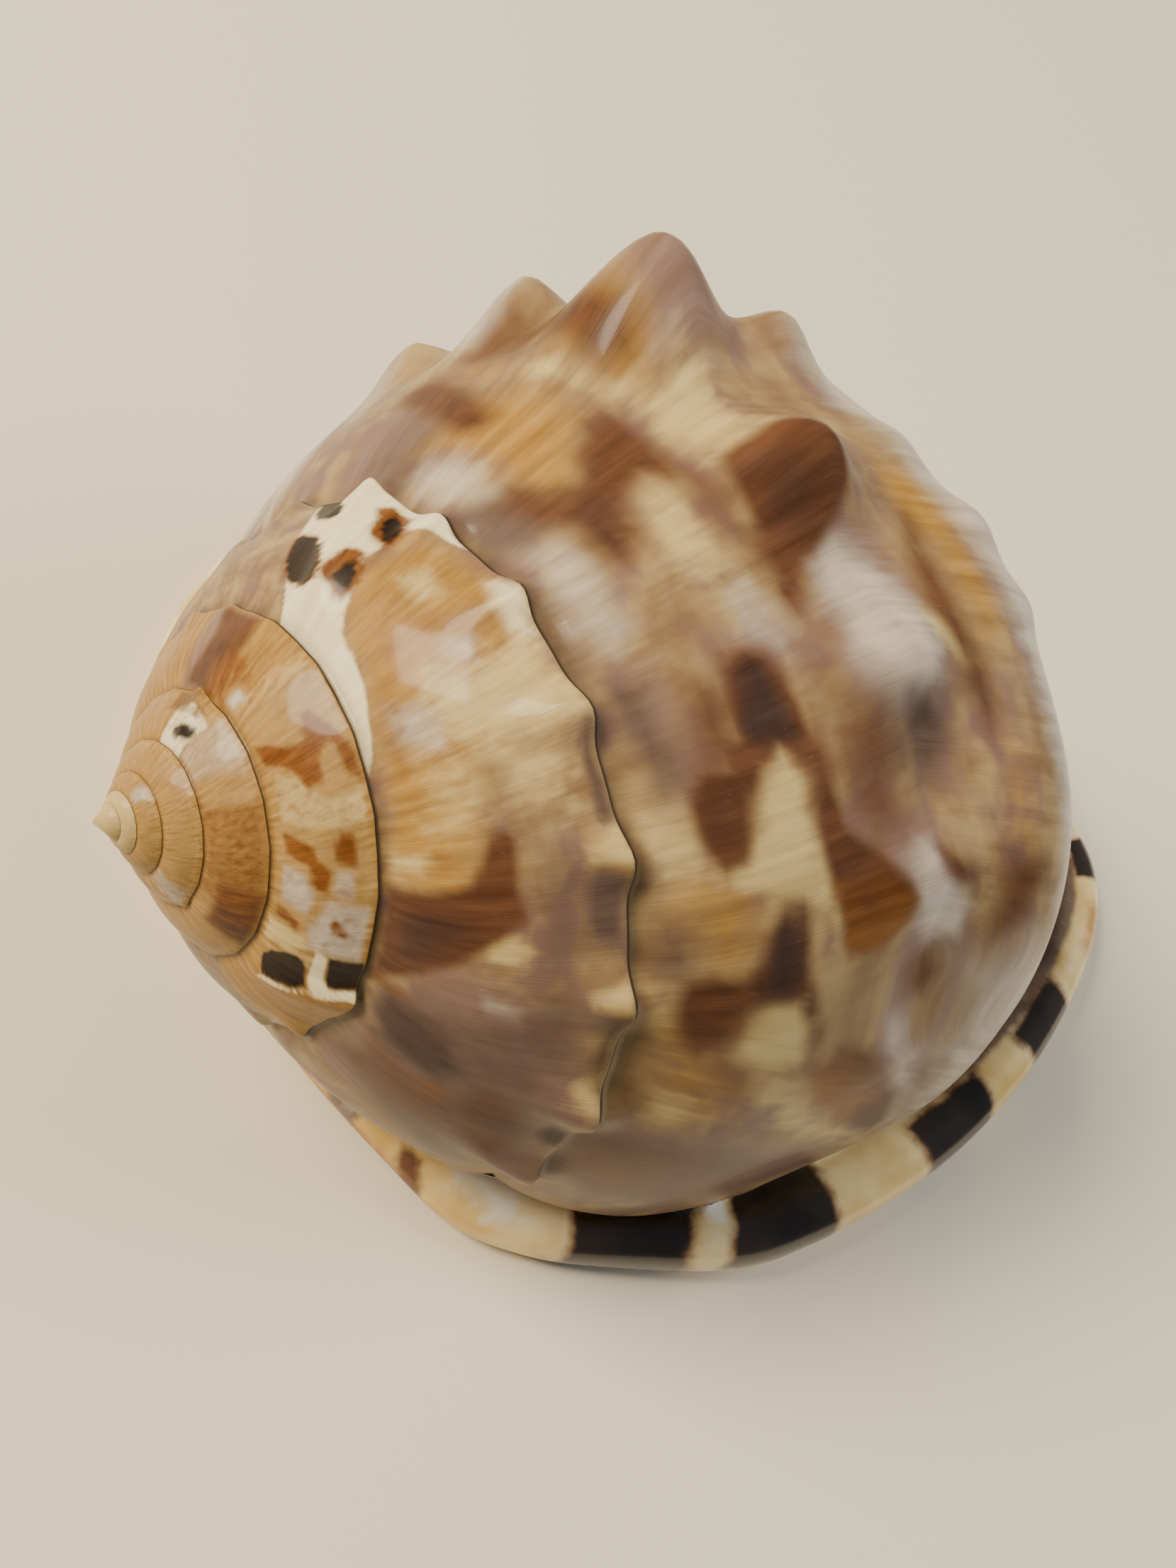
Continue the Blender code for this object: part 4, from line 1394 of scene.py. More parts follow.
def lip_bar(start: float, end: float, top: float) -> Outline:
    """Dark bar that crosses the rim, a little waisted half way up.

    Args:
        start: outline row where it begins.
        end: outline row where it ends.
        top: place along the rim's section where it ends.

    Returns:
        The bar's outline.
    """
    foot, waist = 2.2, 0.1
    middle = 0.5 * (foot + top)
    return (start, foot, end, foot, end - waist, middle, end, top, start, top,
            start + waist, middle)


# Lip and shield: outline row and place along the rim's section.
LIP_BARS = (
    lip_bar(22.35, 23.45, 9.2),
    lip_bar(18.55, 19.55, 7.9),
    lip_bar(17.05, 17.9, 7.6),
    lip_bar(14.1, 15.1, 7.4),
    (20.75, 4.6, 22.05, 4.4, 22.05, 9.2, 20.75, 9.2),
)
LIP_MARKS = tuple(Mark(Pigment.BAR, bar, 1, .8) for bar in LIP_BARS) + tuple(
    Mark(Pigment.BROWN, bar, .9, 1, .7) for bar in LIP_BARS
) + marks(Pigment.PALE, (
    (block(22.1, 22.3, 7.2, 9.4), 1, .6),
    ((24.1, 6.8, 24.5, 6.2, 24.9, 6.7, 25.3, 7.4, 25.5, 8.6, 25.3, 10, 24.1, 10), .8, 3),
)) + marks(Pigment.SHADE, (
    ((12, 7.3, 17.5, 7.6, 19.8, 8.6, 19.8, 10, 12, 10), 1, 1),
    ((26.3, 4.2, 26.7, 4.2, 26.8, 7, 26.4, 7.4), 1, 1.2),
    ((26.5, 5.4, 27.4, 4.6, 27.6, 8, 26.6, 8.6), .6, 2),
)) + marks(Pigment.GOLD, (
    ((23.6, 2.5, 29.5, 2.5, 29.5, 9, 25.6, 9, 24.6, 6, 23.6, 6), 1, 2),
    (block(19.5, 20.7, 2.2, 9), .8, 1.5),
    (block(17.9, 18.5, 2.2, 9), 1, 1),
    (block(15.1, 17, 2.2, 9), .9, 1.5),
)) + marks(Pigment.RUST, (
    ((15.4, 4, 16.6, 4, 16.4, 7, 15.6, 7), .55, 1.5),
    ((25, 2.2, 28.8, 2.2, 28.8, 4.6, 26.2, 4.8, 25.3, 3.8), .95, 3),
)) + marks(Pigment.BROWN, (
    ((25.25, 3, 25.65, 3, 25.85, 6.4, 25.6, 6.6, 25.4, 4.6), .95, 1.2),
# Painted shade: a near-black patch on the shield that stands for the dark hollow beside it.
)) + marks(Pigment.BAR, (
    ((24.75, 8.8, 25.3, 8.5, 25.75, 8.3, 25.9, 12, 24.75, 12), 1, 1.2),
))

SKIN_MARKS = FLAMES + PATCHES + FIRST_SPIRE + SECOND_SPIRE + THIRD_SPIRE + hidden_flames()


@dataclass(frozen=True)
class Pattern:
    """Marks, as one field of each pigment at every corner of the surface.

    Fields:
        skin: marks on the coiled skin.
        lip: marks on the lip and shield.
        row_length: length of one outline row, in millimetres.
        section_length: length of one step of the rim's section, in millimetres.
        waver: how far the outlines of the skin's marks waver, in degrees.
        waves: length and seed of each wave of the wavering.
        canal_depth: how far down the skin the canal's streaks start, in degrees.
        ramp_lean: lean of the growth lines on the ramp, in degrees, which the
            lip turns the other way.
        side_lean: lean on the side, and what the lip adds to it.
        ramp_turn: growth angles between which the ramp's lean turns over.
        side_turn: growth angles between which the side's lean grows.
    """

    skin: tuple[Mark, ...] = SKIN_MARKS
    lip: tuple[Mark, ...] = LIP_MARKS
    row_length: float = 10.0
    section_length: float = 2.5
    waver: float = 0.35
    waves: tuple[tuple[float, int], ...] = ((5.0, 11), (2.6, 12), (6.0, 13), (3.0, 14))
    canal_depth: float = 60.0
    ramp_lean: float = 9.0
    side_lean: tuple[float, float] = (20.0, 30.0)
    ramp_turn: tuple[float, float] = (45.0, 70.0)
    side_turn: tuple[float, float] = (30.0, 90.0)

    def measure(self, pairs: Array, flat: bool) -> Array:
        """Turn growth coordinates into lengths.

        Args:
            pairs: one row of two growth coordinates for each place.
            flat: whether the coordinates are the rim's rows and section.

        Returns:
            One row of two lengths for each place.
        """
        if flat:
            return pairs * (self.row_length, self.section_length)
        return np.column_stack((pairs[:, 0], span(pairs[:, 1])))

    def wavered(self, lengths: Array) -> Array:
        """Move places a little, so that straight outlines waver.

        Args:
            lengths: one row of two lengths for each place.

        Returns:
            The rows, moved.
        """
        x, y = lengths.T
        reads = (y, y + x, x, x - y)
        a, b, c, d = (wander(read, *wave) for read, wave in zip(reads, self.waves))
        return lengths + self.waver * np.column_stack((a + b, c + d))

    def lay(self, spots: Array, laid: tuple[Mark, ...], flat: bool) -> Array:
        """Work out the pigment fields over flat coordinates.

        Args:
            spots: one row of two growth coordinates for each corner.
            laid: the marks to lay.
            flat: whether the coordinates are the rim's rows and section.

        Returns:
            One row for each corner, with a field for each pigment.
        """
        fields = np.zeros((len(spots), len(Pigment)))
        lengths = self.measure(spots, flat)
        if not flat:
            lengths = self.wavered(lengths)
        for mark in laid:
            corners = self.measure(np.reshape(mark.outline, (-1, 2)).astype(float), flat)
            low, high = corners.min(0) - 2 * mark.soft, corners.max(0) + 2 * mark.soft
            near = np.flatnonzero(((lengths > low) & (lengths < high)).all(1))
            if len(near) == 0:
                continue
            depth = inside_distance(lengths[near], corners) + mark.grow
            level = mark.strength * np.clip(0.5 + depth / (2.0 * mark.soft), 0.0, 1.0)
            column = fields[:, mark.pigment.value]
            column[near] = np.maximum(column[near], level)
        return fields

    def streak(self, spots: Array) -> Array:
        """Coordinate across the growth lines, which lean and bend with the lip.

        Args:
            spots: one row of growth angle and share for each corner.

        Returns:
            One coordinate for each corner, in degrees.
        """
        angle, share = spots[:, 0], spots[:, 1]
        up, down = np.minimum(share, 1.0), np.maximum(share - 1.0, 0.0)
        lean = self.ramp_lean * (1.0 - 2.0 * smoothstep(*self.ramp_turn, angle))
        early, late = self.side_lean
        return angle + lean * up - down * (early + late * smoothstep(*self.side_turn, angle))

    def write(self, surface: Surface) -> None:
        """Store the fields on the surface.

        Args:
            surface: the fused shell's arrays.
        """
        growth, region = surface.corner_growth, surface.corner_region
        fields = np.zeros((len(growth), 3 * len(FIELD_NAMES)))
        skin = region == Region.SKIN.value
        rim = region == Region.RIM.value
        fields[skin, :len(Pigment)] = self.lay(growth[skin], self.skin, flat=False)
        fields[rim, :len(Pigment)] = self.lay(growth[rim], self.lip, flat=True)
        for index, name in enumerate(FIELD_NAMES):
            surface.write(name, fields[:, 3 * index:3 * index + 3])
        lines = np.zeros((len(growth), 3))
        lines[skin, 0] = self.streak(growth[skin])
        lines[skin, 1] = span(growth[skin, 1])
        lines[skin, 2] = growth[skin, 0] / TURN
        canal = region == Region.CANAL.value
        lines[canal, :2] = self.measure(growth[canal], flat=True) + (0.0, self.canal_depth)
        lines[rim, :2] = self.measure(growth[rim], flat=True)
        surface.write("lines", lines)


@dataclass
class Graph:
    """Node tree of one material, with short ways to add to it.

    Fields:
        tree: the material's node tree.
    """

    tree: bpy.types.NodeTree

    def add(self, kind: str, inputs: dict[str | int, object] | None = None,
            **settings: object) -> bpy.types.Node:
        """Add a node.

        Args:
            kind: its type.
            inputs: what feeds its inputs, by name or number.
            settings: its properties, by name.

        Returns:
            The new node.
        """
        node = self.tree.nodes.new(kind)
        for name, value in settings.items():
            setattr(node, name, value)
        for name, value in (inputs or {}).items():
            self.feed(node.inputs[name], value)
        return node

    def feed(self, socket: Socket, value: object) -> None:
        """Link a socket to another, or set the value it keeps.

        Args:
            socket: the input.
            value: an output, a number or a vector.
        """
        if isinstance(value, bpy.types.NodeSocket):
            self.tree.links.new(value, socket)
        elif isinstance(value, tuple) and socket.type == "RGBA":
            socket.default_value = (*value, 1.0)
        else:
            socket.default_value = value

    def math(self, operation: str, first: object, second: object = 0.0,
             third: object = 0.0) -> Socket:
        """Combine numbers.

        Args:
            operation: the math node's operation.
            first: first number or output.
            second: second number or output.
            third: third number or output.

        Returns:
            The result.
        """
        inputs = {0: first, 1: second, 2: third}
        return self.add("ShaderNodeMath", inputs, operation=operation).outputs[0]

    def stretch(self, place: Socket, factors: Triple) -> Socket:
        """Scale a vector by three factors.

        Args:
            place: the vector.
            factors: what each coordinate is multiplied by.

        Returns:
            The scaled vector.
        """
        inputs = {0: place, 1: factors}
        return self.add("ShaderNodeVectorMath", inputs, operation="MULTIPLY").outputs[0]

    def noise(self, place: Socket, scale: float = 1.0, detail: float = 3.0,
              rough: float = 0.55) -> Socket:
        """Soft random value from 0 to 1.

        Args:
            place: where it is read.
            scale: how many features go to one unit.
            detail: how many finer layers it has.
            rough: how strong the finer layers are.

        Returns:
            The value.
        """
        inputs = {"Vector": place, "Scale": scale, "Detail": detail, "Roughness": rough}
        return self.add("ShaderNodeTexNoise", inputs).outputs["Fac"]

    def rise(self, value: Socket, low: float, high: float) -> Socket:
        """Rise from 0 to 1 between two values without a corner.

        Args:
            value: where it is read.
            low: value where the rise begins.
            high: value where it ends.

        Returns:
            The share risen.
        """
        inputs = {"Value": value, "From Min": low, "From Max": high}
        node = self.add("ShaderNodeMapRange", inputs, interpolation_type="SMOOTHSTEP")
        return node.outputs["Result"]

    def mix(self, share: object, first: object, second: object) -> Socket:
        """Mix two colours.

        Args:
            share: share of the second colour.
            first: first colour.
            second: second colour.

        Returns:
            The mixed colour.
        """
        inputs = {0: share, 6: first, 7: second}
        return self.add("ShaderNodeMix", inputs, data_type="RGBA").outputs[2]

    def fields(self, name: str) -> list[Socket]:
        """Read the three numbers that the surface keeps under a name.

        Args:
            name: the attribute's name.

        Returns:
            One output for each number.
        """
        source = self.add("ShaderNodeAttribute", attribute_name=name)
        return list(self.add("ShaderNodeSeparateXYZ", {0: source.outputs["Vector"]}).outputs)

    def bump(self, height: Socket, distance: float, strength: float) -> Socket:
        """Normal of a finely uneven surface.

        Args:
            height: its unevenness, from 0 to 1.
            distance: the unevenness in metres.
            strength: how much of it shows.

        Returns:
            The normal.
        """
        inputs = {"Strength": strength, "Distance": distance, "Height": height}
        return self.add("ShaderNodeBump", inputs).outputs["Normal"]


@dataclass(frozen=True)
class Coating:
    """One pigment as a finish lays it.

    Fields:
        pigment: whose field it follows.
        dark: colour of its darker streaks.
        light: colour of its lighter streaks.
        edge: half width of its edge, as a share of the field.
        ragged: how far the streaks move its edge.
        blotch: how far it breaks into blots.
    """

    pigment: Pigment
    dark: Colour
    light: Colour
    edge: float = 0.2
    ragged: float = 0.5
    blotch: float = 0.3

    def over(self, graph: Graph, under: Socket, field: Socket, uneven: Socket, tone: Socket,
             blots: Socket | None = None) -> Socket:
        """Lay the pigment over a colour.

        Args:
            graph: the finish's graph.
            under: the colour below.
            field: how full the pigment is.
            uneven: what moves its edge, around 0.
            tone: share of its lighter colour.
            blots: what breaks it into blots, around 0.

        Returns:
            The colour with the pigment on it.
        """
        level = graph.math("MULTIPLY_ADD", uneven, self.ragged * 2.0, field)
        if blots is not None:
            level = graph.math("MULTIPLY_ADD", blots, self.blotch, level)
        mask = graph.rise(level, 0.5 - self.edge, 0.5 + self.edge)
        return graph.mix(mask, under, graph.mix(tone, self.dark, self.light))


def new_material(name: str) -> tuple[bpy.types.Material, Graph, bpy.types.Node]:
    """Start a material.

    Args:
        name: its name.

    Returns:
        The material, its graph and its shader.
    """
    made = bpy.data.materials.new(name)
    made.use_nodes = True
    return made, Graph(made.node_tree), made.node_tree.nodes["Principled BSDF"]


def polish(shader: bpy.types.Node, coat: tuple[float, float]) -> None:
    """Give a shader its clear coat's weight and roughness."""
    shader.inputs["Coat Weight"].default_value, shader.inputs["Coat Roughness"].default_value = coat


@dataclass(frozen=True)
class FlamedSkin:
    """Glossy outer shell, with pigments drawn out along the growth lines.

    Fields:
        name: the material's name.
        cream: lightest ground colour.
        tan: darkest ground colour.
        mauve: ground colour of wide clouds.
        suture_shade: colour of the painted shade just below each suture.
        coatings: pigments, from the lowest to the uppermost.
        broad, fine: how close the streaks along the growth lines lie.
        hair: the same of the faint lines of painted glints.
        mottle, cloud, blot: the same of uneven ground, mauve clouds and blots.
        fine_share: share of the fine streaks in all streaks.
        glint: how light the painted glints along the faint lines are.
        suture_shading: how far the painted shade reaches below a suture and how strong
        it is, for the dark line itself and for the haze beside it.
        roughness: least roughness, and what the streaks add to it.
        relief: height of the fine streaks in metres, and how much of it shows.
        gloss: level of the shell's own sheen.
        coat: weight and roughness of the polish over it.
    """

    name: str = "flamed_skin"
    cream: Colour = (0.35, 0.24, 0.105)
    tan: Colour = (0.18, 0.105, 0.05)
    mauve: Colour = (0.185, 0.108, 0.08)
    suture_shade: Colour = (0.035, 0.022, 0.013)
    coatings: tuple[Coating, ...] = (
        Coating(Pigment.GOLD, (0.23, 0.11, 0.022), (0.4, 0.22, 0.055), 0.45, 0.25, 0.6),
        Coating(Pigment.LILAC, (0.16, 0.094, 0.074), (0.235, 0.15, 0.118), 0.45, 0.25),
        Coating(Pigment.CREAM, (0.4, 0.285, 0.11), (0.56, 0.415, 0.175), 0.4, 0.2, 0.9),
        Coating(Pigment.PALE, (0.4, 0.33, 0.25), (0.54, 0.46, 0.36), 0.5, 0.25, 0.5),
        Coating(Pigment.IVORY, (0.66, 0.55, 0.31), (0.8, 0.7, 0.47), 0.25, 0.05, 0.1),
        Coating(Pigment.SHADE, (0.07, 0.043, 0.034), (0.12, 0.078, 0.06), 0.45, 0.25),
        Coating(Pigment.BROWN, (0.062, 0.025, 0.012), (0.128, 0.053, 0.025), 0.34, 0.18, 0.15),
        Coating(Pigment.RUST, (0.11, 0.036, 0.009), (0.22, 0.085, 0.02), 0.36, 0.2, 0.8),
        Coating(Pigment.DUSK, (0.032, 0.017, 0.014), (0.055, 0.032, 0.025), 0.45, 0.2),
        Coating(Pigment.BAR, (0.012, 0.008, 0.006), (0.03, 0.018, 0.012), 0.28, 0.05, 0.1),
    )
    broad: Triple = (0.45, 0.045, 1.0)
    fine: Triple = (3.4, 0.06, 1.0)
    hair: Triple = (9.0, 0.4, 3.0)
    mottle: Triple = (0.13, 0.1, 1.0)
    cloud: Triple = (0.09, 0.13, 2.0)
    blot: Triple = (0.36, 0.17, 1.0)
    fine_share: float = 0.14
    glint: float = 0.3
    suture_shading: tuple[tuple[float, float], ...] = ((0.9, 0.55), (4.0, 0.42))
    roughness: tuple[float, float] = (0.24, 0.16)
    relief: tuple[float, float] = (0.0002, 0.16)
    gloss: float = 0.06
    coat: tuple[float, float] = (0.12, 0.1)

    def material(self) -> bpy.types.Material:
        """Make the material.

        Returns:
            The finished material.
        """
        made, graph, shader = new_material(self.name)
        lines = graph.add("ShaderNodeAttribute", attribute_name="lines").outputs["Vector"]
        broad = graph.noise(graph.stretch(lines, self.broad), detail=3.0, rough=0.55)
        fine = graph.noise(graph.stretch(lines, self.fine), detail=2.0)
        hair = graph.noise(graph.stretch(lines, self.hair), detail=2.0)
        mottle = graph.noise(graph.stretch(lines, self.mottle), detail=3.0)
        cloud = graph.noise(graph.stretch(lines, self.cloud), detail=2.0)
        blots = graph.noise(graph.stretch(lines, self.blot), detail=2.0)
        blots = graph.math("SUBTRACT", blots, 0.5)
        thin = graph.math("MULTIPLY", fine, self.fine_share)
        streaks = graph.math("MULTIPLY_ADD", broad, 1.0 - self.fine_share, thin)
        across = graph.math("SUBTRACT", streaks, 0.5)
        ground = graph.math("MULTIPLY_ADD", mottle, 0.7, graph.math("MULTIPLY", streaks, 0.3))
        colour = graph.mix(graph.rise(ground, 0.34, 0.66), self.tan, self.cream)
        colour = graph.mix(graph.rise(cloud, 0.44, 0.66), colour, self.mauve)
        fields = [field for name in FIELD_NAMES for field in graph.fields(name)]
        tone = graph.rise(streaks, 0.26, 0.74)
        for coat in self.coatings:
            colour = coat.over(graph, colour, fields[coat.pigment.value], across, tone, blots)
        # Painted highlight: faint light glints along the growth lines, mixed into the colour.
        glint = graph.math("MULTIPLY", graph.rise(hair, 0.68, 0.8), self.glint)
        colour = graph.mix(glint, colour, self.cream)
        # Painted shade: a thin dark line and a wider haze darken the colour just below each suture.
        above = graph.math("MULTIPLY", graph.fields("lines")[1], -1.0)
        line, haze = (graph.math("MULTIPLY", graph.rise(above, -reach, -0.2), strength)
                      for reach, strength in self.suture_shading)
        colour = graph.mix(graph.math("ADD", line, haze), colour, self.suture_shade)
        graph.feed(shader.inputs["Base Color"], colour)
        least, added = self.roughness
        graph.feed(shader.inputs["Roughness"], graph.math("MULTIPLY_ADD", broad, added, least))
        graph.feed(shader.inputs["Normal"], graph.bump(fine, *self.relief))
        shader.inputs["Specular IOR Level"].default_value = self.gloss
        polish(shader, self.coat)
        return made


@dataclass(frozen=True)
class Porcelain:
    """Thick glossy callus of the lip and shield.

    Fields:
        name: the material's name.
        cream: its lightest colour.
        shadow: its darkest colour.
        coatings: pigments, from the lowest to the uppermost.
        clouds: how many clouds of colour go to a metre.
        grains: how many grains go to a metre.
        roughness: least roughness, and what the grain adds to it.
        relief: height of the grain in metres, and how much of it shows.
        coat: weight and roughness of the polish over it.
    """

    name: str = "lip_callus"
    cream: Colour = (0.84, 0.66, 0.35)
    shadow: Colour = (0.62, 0.42, 0.17)
    coatings: tuple[Coating, ...] = (
        Coating(Pigment.GOLD, (0.6, 0.37, 0.1), (0.84, 0.62, 0.27), 0.4, 0.3),
        Coating(Pigment.RUST, (0.3, 0.11, 0.02), (0.5, 0.24, 0.05), 0.4, 0.4),
        Coating(Pigment.SHADE, (0.13, 0.085, 0.065), (0.24, 0.165, 0.115), 0.3, 0.3),
        Coating(Pigment.PALE, (0.7, 0.6, 0.47), (0.86, 0.8, 0.68), 0.4, 0.8),
        Coating(Pigment.BROWN, (0.09, 0.038, 0.018), (0.2, 0.09, 0.04), 0.35, 0.4),
        Coating(Pigment.BAR, (0.01, 0.007, 0.006), (0.03, 0.02, 0.014), 0.2, 0.3),
    )
    clouds: float = 90.0
    grains: float = 420.0
    roughness: tuple[float, float] = (0.2, 0.1)
    relief: tuple[float, float] = (0.0002, 0.25)
    coat: tuple[float, float] = (0.3, 0.1)

    def material(self) -> bpy.types.Material:
        """Make the material.

        Returns:
            The finished material.
        """
        made, graph, shader = new_material(self.name)
        place = graph.add("ShaderNodeTexCoord").outputs["Object"]
        cloud = graph.noise(place, self.clouds)
        grain = graph.noise(place, self.grains)
        tone = graph.rise(cloud, 0.35, 0.65)
        colour = graph.mix(tone, self.shadow, self.cream)
        fields = [field for name in FIELD_NAMES for field in graph.fields(name)]
        uneven = graph.math("SUBTRACT", grain, 0.5)
        for coat in self.coatings:
            colour = coat.over(graph, colour, fields[coat.pigment.value], uneven, tone)
        graph.feed(shader.inputs["Base Color"], colour)
        least, added = self.roughness
        graph.feed(shader.inputs["Roughness"], graph.math("MULTIPLY_ADD", grain, added, least))
        graph.feed(shader.inputs["Normal"], graph.bump(grain, *self.relief))
        polish(shader, self.coat)
        return made


@dataclass(frozen=True)
class InnerWall(Porcelain):
    """Smooth pinkish white of the hollow inside."""

    name: str = "inner_wall"
    cream: Colour = (0.85, 0.62, 0.45)
    shadow: Colour = (0.7, 0.4, 0.25)
    coatings: tuple[Coating, ...] = ()


@dataclass(frozen=True)
class Enamel(Porcelain):
    """Near-white enamel of the teeth."""

    name: str = "tooth_enamel"
    cream: Colour = (0.88, 0.8, 0.62)
    shadow: Colour = (0.8, 0.66, 0.44)
    coatings: tuple[Coating, ...] = ()


@dataclass
class ToothRow:
    """Row of rounded teeth or folds along one side of the mouth.

    Fields:
        name: the piece's name.
        mouth: the slit that they stand in.
        side: column of the mouth's stations that they follow.
        start: x of the first from the apex.
        end: x of the last.
        count: how many there are.
        size: half width, half length and half height, in millimetres.
        level: height of their middle.
        uneven: how much smaller the smallest is, as a share.
        seed: number that picks their sizes.
        samples: points of the line that they follow.
        segments: faces round each tooth.
        rings: faces from its foot to its tip.
    """

    name: str
    mouth: Aperture
    side: int
    start: float
    end: float
    count: int
    size: Triple
    level: float = 3.2
    uneven: float = 0.12
    seed: int = 5
    samples: int = 40
    segments: int = 20
    rings: int = 12

    def path(self) -> bpy.types.Object:
        """Draw the side of the mouth that the teeth follow.

        Returns:
            A new curve object.
        """
        x = np.linspace(self.start, self.end, self.samples)
        spots = to_frame(x, self.mouth.edge(self.side, x), np.array(self.level))
        curve = bpy.data.curves.new(self.name, "CURVE")
        curve.dimensions = "3D"
        line = curve.splines.new("POLY")
        line.points.add(len(spots) - 1)
        for point, spot in zip(line.points, spots):
            point.co = (*spot, 1.0)
        return stand(self.name, curve)

    def tree(self) -> bpy.types.NodeTree:
        """Node tree that sets a rounded tooth at even steps along a curve.

        Returns:
            The tree, with its sizes as named inputs.
        """
        tree = bpy.data.node_groups.new("teeth_along_mouth", "GeometryNodeTree")
        kinds = {"Geometry": "Geometry", "Count": "Int", "Half size": "Vector",
                 "Unevenness": "Float", "Enamel": "Material"}
        for name, kind in kinds.items():
            tree.interface.new_socket(name, in_out="INPUT", socket_type=f"NodeSocket{kind}")
        tree.interface.new_socket("Geometry", in_out="OUTPUT", socket_type="NodeSocketGeometry")
        graph = Graph(tree)
        given = graph.add("NodeGroupInput").outputs
        evened = graph.add("GeometryNodeResampleCurve",
                           {"Curve": given["Geometry"], "Count": given["Count"]})
        ball = graph.add("GeometryNodeMeshUVSphere",
                         {"Segments": self.segments, "Rings": self.rings})
        shaped = graph.add("GeometryNodeTransform",
                           {"Geometry": ball.outputs["Mesh"], "Scale": given["Half size"]})
        along = graph.add("GeometryNodeInputTangent").outputs[0]
        turned = graph.add("FunctionNodeAlignRotationToVector", {"Vector": along}, axis="X")
        smallest = graph.math("SUBTRACT", 1.0, given["Unevenness"])
        varied = graph.add("FunctionNodeRandomValue",
                           {2: smallest, 3: 1.0, "Seed": self.seed}, data_type="FLOAT")
        placed = graph.add("GeometryNodeInstanceOnPoints", {
            "Points": evened.outputs["Curve"],
            "Instance": shaped.outputs["Geometry"],
            "Rotation": turned.outputs["Rotation"],
            "Scale": varied.outputs[1],
        })
        real = graph.add("GeometryNodeRealizeInstances", {"Geometry": placed.outputs["Instances"]})
        smooth = graph.add("GeometryNodeSetShadeSmooth", {"Geometry": real.outputs["Geometry"]})
        dressed = graph.add("GeometryNodeSetMaterial",
                            {"Geometry": smooth.outputs["Geometry"], "Material": given["Enamel"]})
        graph.add("NodeGroupOutput", {"Geometry": dressed.outputs["Geometry"]})
        return tree

    def build(self, enamel: bpy.types.Material) -> bpy.types.Object:
        """Set the teeth, and keep them as one plain mesh.

        Args:
            enamel: their material.

        Returns:
            The finished piece.
        """
        guide = self.path()
        tree = self.tree()
        setting = guide.modifiers.new("teeth", "NODES")
        setting.node_group = tree
        values = {
            "Count": self.count,
            "Half size": tuple(v * MM for v in self.size),
            "Unevenness": self.uneven,
            "Enamel": enamel,
        }
        for item in tree.interface.items_tree:
            if item.in_out == "INPUT" and item.name in values:
                setting[item.identifier] = values[item.name]
        piece = stand(self.name, evaluated_copy(guide))
        curve = guide.data
        bpy.data.objects.remove(guide, do_unlink=True)
        bpy.data.curves.remove(curve)
        return piece


@dataclass
class FlameHelmet:
    """The whole shell.

    Fields:
        detail: how finely it is divided.
        join_rings: rows of points that each join is rounded over.
        join_rounds: how many times they are averaged.
    """

    detail: Detail
    join_rings: int = 3
    join_rounds: int = 6

    def build(self) -> bpy.types.Object:
        """Fuse the shell's parts and lay its marks.

        Returns:
            The fused object.
        """
        steps = [
            (LipAndShield(self.detail).build(), Fusion.UNION),
            (Tube(self.detail, CANAL_STATIONS, Region.CANAL).build(), Fusion.UNION),
            (Tube(self.detail, GROOVE_STATIONS, Region.GROOVE).build(), Fusion.DIFFERENCE),
            (Aperture(self.detail).build(), Fusion.DIFFERENCE),
        ]
        grown = fuse("helmet_shell", Coil(self.detail).build(), steps)
        surface = Surface(grown.data)
        surface.soften_joins(self.join_rings, self.join_rounds)
        Pattern().write(surface)
        self.dress(grown)
        return grown

    def dress(self, grown: bpy.types.Object) -> None:
        """Give each part of the surface its finish.

        Args:
            grown: the fused object.
        """
        mesh = grown.data
        mesh.materials.clear()
        for finish in (FlamedSkin(), Porcelain(), InnerWall()):
            mesh.materials.append(finish.material())
        region = read_all(mesh.attributes["region"].data, "value", 1, np.int32)
        slots = np.zeros(len(region), dtype=np.int32)
        slots[(region == Region.RIM.value) | (region == Region.GROOVE.value)] = 1
        centres = read_all(mesh.polygons, "center", 3, np.float32)
        facing = read_all(mesh.polygons, "normal", 3, np.float32)
        roof = Aperture(self.detail).shows(centres) & (facing[:, 2] < 0.0)
        slots[(region == Region.HOLLOW.value) | ((region == Region.SKIN.value) & roof)] = 2
        mesh.polygons.foreach_set("material_index", slots)
        mesh.shade_smooth()


@dataclass(frozen=True)
class Lamp:
    """Square soft light that faces the shell.

    Fields:
        name: its name.
        place: where it hangs, in metres.
        size: its side, in metres.
        power: its strength, in watts.
        tint: its colour.
        shines: whether glossy surfaces mirror it.
    """

    name: str
    place: Triple
    size: float
    power: float
    tint: Colour
    shines: bool = True

    def hang(self) -> None:
        """Hang the lamp."""
        data = bpy.data.lights.new(self.name, "AREA")
        data.energy = self.power
        data.size = self.size
        data.color = self.tint
        thing = stand(self.name, data)
        thing.visible_glossy = self.shines
        spot = Vector(self.place)
        turn = spot.to_track_quat("Z", "Y").to_matrix().to_4x4()
        thing.matrix_world = Matrix.Translation(spot) @ turn


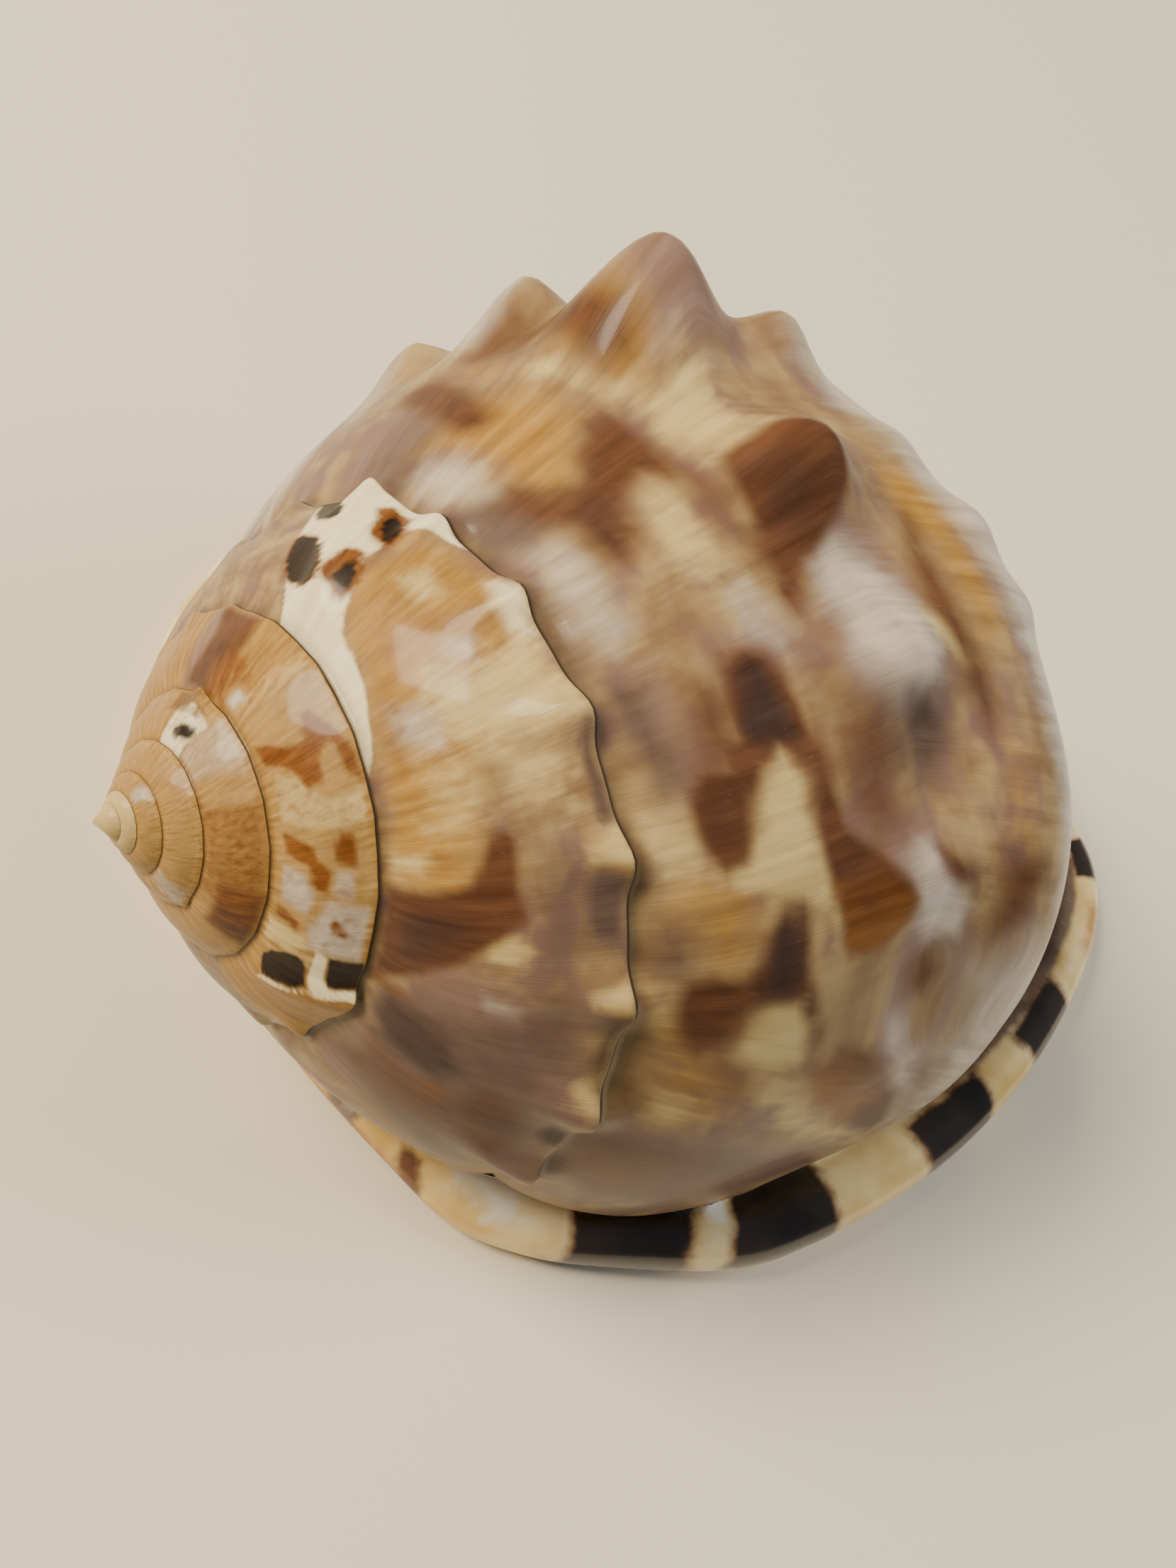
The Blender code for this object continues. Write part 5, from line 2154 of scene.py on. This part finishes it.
@dataclass
class Studio:
    """Pale table, soft light and the camera.

    Fields:
        camera_place: x from the apex, y and height of the lens, in millimetres.
        camera_aim: point of the table in the middle of the picture.
        camera_roll: turn about the line of sight, in degrees.
        focal_pixels, photo_width: focal length and width, in the photograph's pixels.
        sensor, nearest: sensor width in millimetres, nearest distance in metres.
        table_half: half the table's side, in metres.
        lamps: a warm one on the upper left of the view, a weak cool one on the right.
    """

    camera_place: Triple = (-15.605, -37.508, 153.703)
    camera_aim: Triple = (60.75, 4.08, 0.0)
    camera_roll: float = 42.83
    focal_pixels: float = 2109.58
    photo_width: float = 1659.0
    sensor: float = 36.0
    nearest: float = 0.001
    table_half: float = 2.0
    table_colour: Colour = (0.72, 0.635, 0.48)
    table_roughness: float = 0.55
    lamps: tuple[Lamp, ...] = (
        Lamp("window", (-0.42, 0.34, 0.56), 0.3, 12.6, (1.0, 0.89, 0.7)),
        Lamp("doorway", (0.60, -0.2, 0.36), 0.4, 5.2, (0.9, 0.95, 1.0), shines=False),
    )
    sky_colour: Colour = (0.9, 0.95, 1.0)
    sky_strength: float = 0.16

    def camera(self) -> None:
        """Place the camera where the photograph was taken from."""
        data = bpy.data.cameras.new("camera")
        data.sensor_fit = "HORIZONTAL"
        data.sensor_width = self.sensor
        data.lens = self.focal_pixels / self.photo_width * self.sensor
        data.clip_start = self.nearest
        thing = stand("camera", data)
        spot, aim = to_frame(*self.camera_place), to_frame(*self.camera_aim)
        turn = Vector(aim - spot).to_track_quat("-Z", "Y").to_matrix().to_4x4()
        roll = Matrix.Rotation(np.radians(self.camera_roll), 4, "Z")
        thing.matrix_world = Matrix.Translation(spot) @ turn @ roll
        bpy.context.scene.camera = thing

    def floor(self) -> None:
        """Lay the table."""
        mesh = bpy.data.meshes.new("table")
        half = self.table_half
        corners = [(-half, -half, 0), (half, -half, 0), (half, half, 0), (-half, half, 0)]
        mesh.from_pydata(corners, [], [(0, 1, 2, 3)])
        thing = stand("table", mesh)
        made, _, shader = new_material("table")
        shader.inputs["Base Color"].default_value = (*self.table_colour, 1.0)
        shader.inputs["Roughness"].default_value = self.table_roughness
        mesh.materials.append(made)

    def light(self) -> None:
        """Hang the lamps and fill the room with a weak cool light."""
        for lamp in self.lamps:
            lamp.hang()
        world = bpy.data.worlds.new("room")
        bpy.context.scene.world = world
        world.use_nodes = True
        sky = world.node_tree.nodes["Background"]
        sky.inputs["Color"].default_value = (*self.sky_colour, 1.0)
        sky.inputs["Strength"].default_value = self.sky_strength


def main() -> None:
    """Build the shell and the studio."""
    logging.basicConfig(level=logging.INFO)
    detail = FINE
    shell = FlameHelmet(detail).build()
    mouth = Aperture(detail)
    enamel = Enamel().material()
    rows = (
        ToothRow("lip_teeth", mouth, 1, 46.0, 104.0, 10, (1.7, 3.0, 2.0)),
        ToothRow("columella_folds", mouth, 2, 60.0, 102.0, 7, (1.4, 2.6, 1.6), seed=9),
    )
    pieces = [shell] + [row.build(enamel) for row in rows]
    for piece in pieces:
        LOG.info("%s: %d faces", piece.name, len(piece.data.polygons))
        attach(piece, "root")
        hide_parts(NODE)
    studio = Studio()
    studio.camera()
    studio.floor()
    studio.light()


if __name__ == "__main__":
    main()
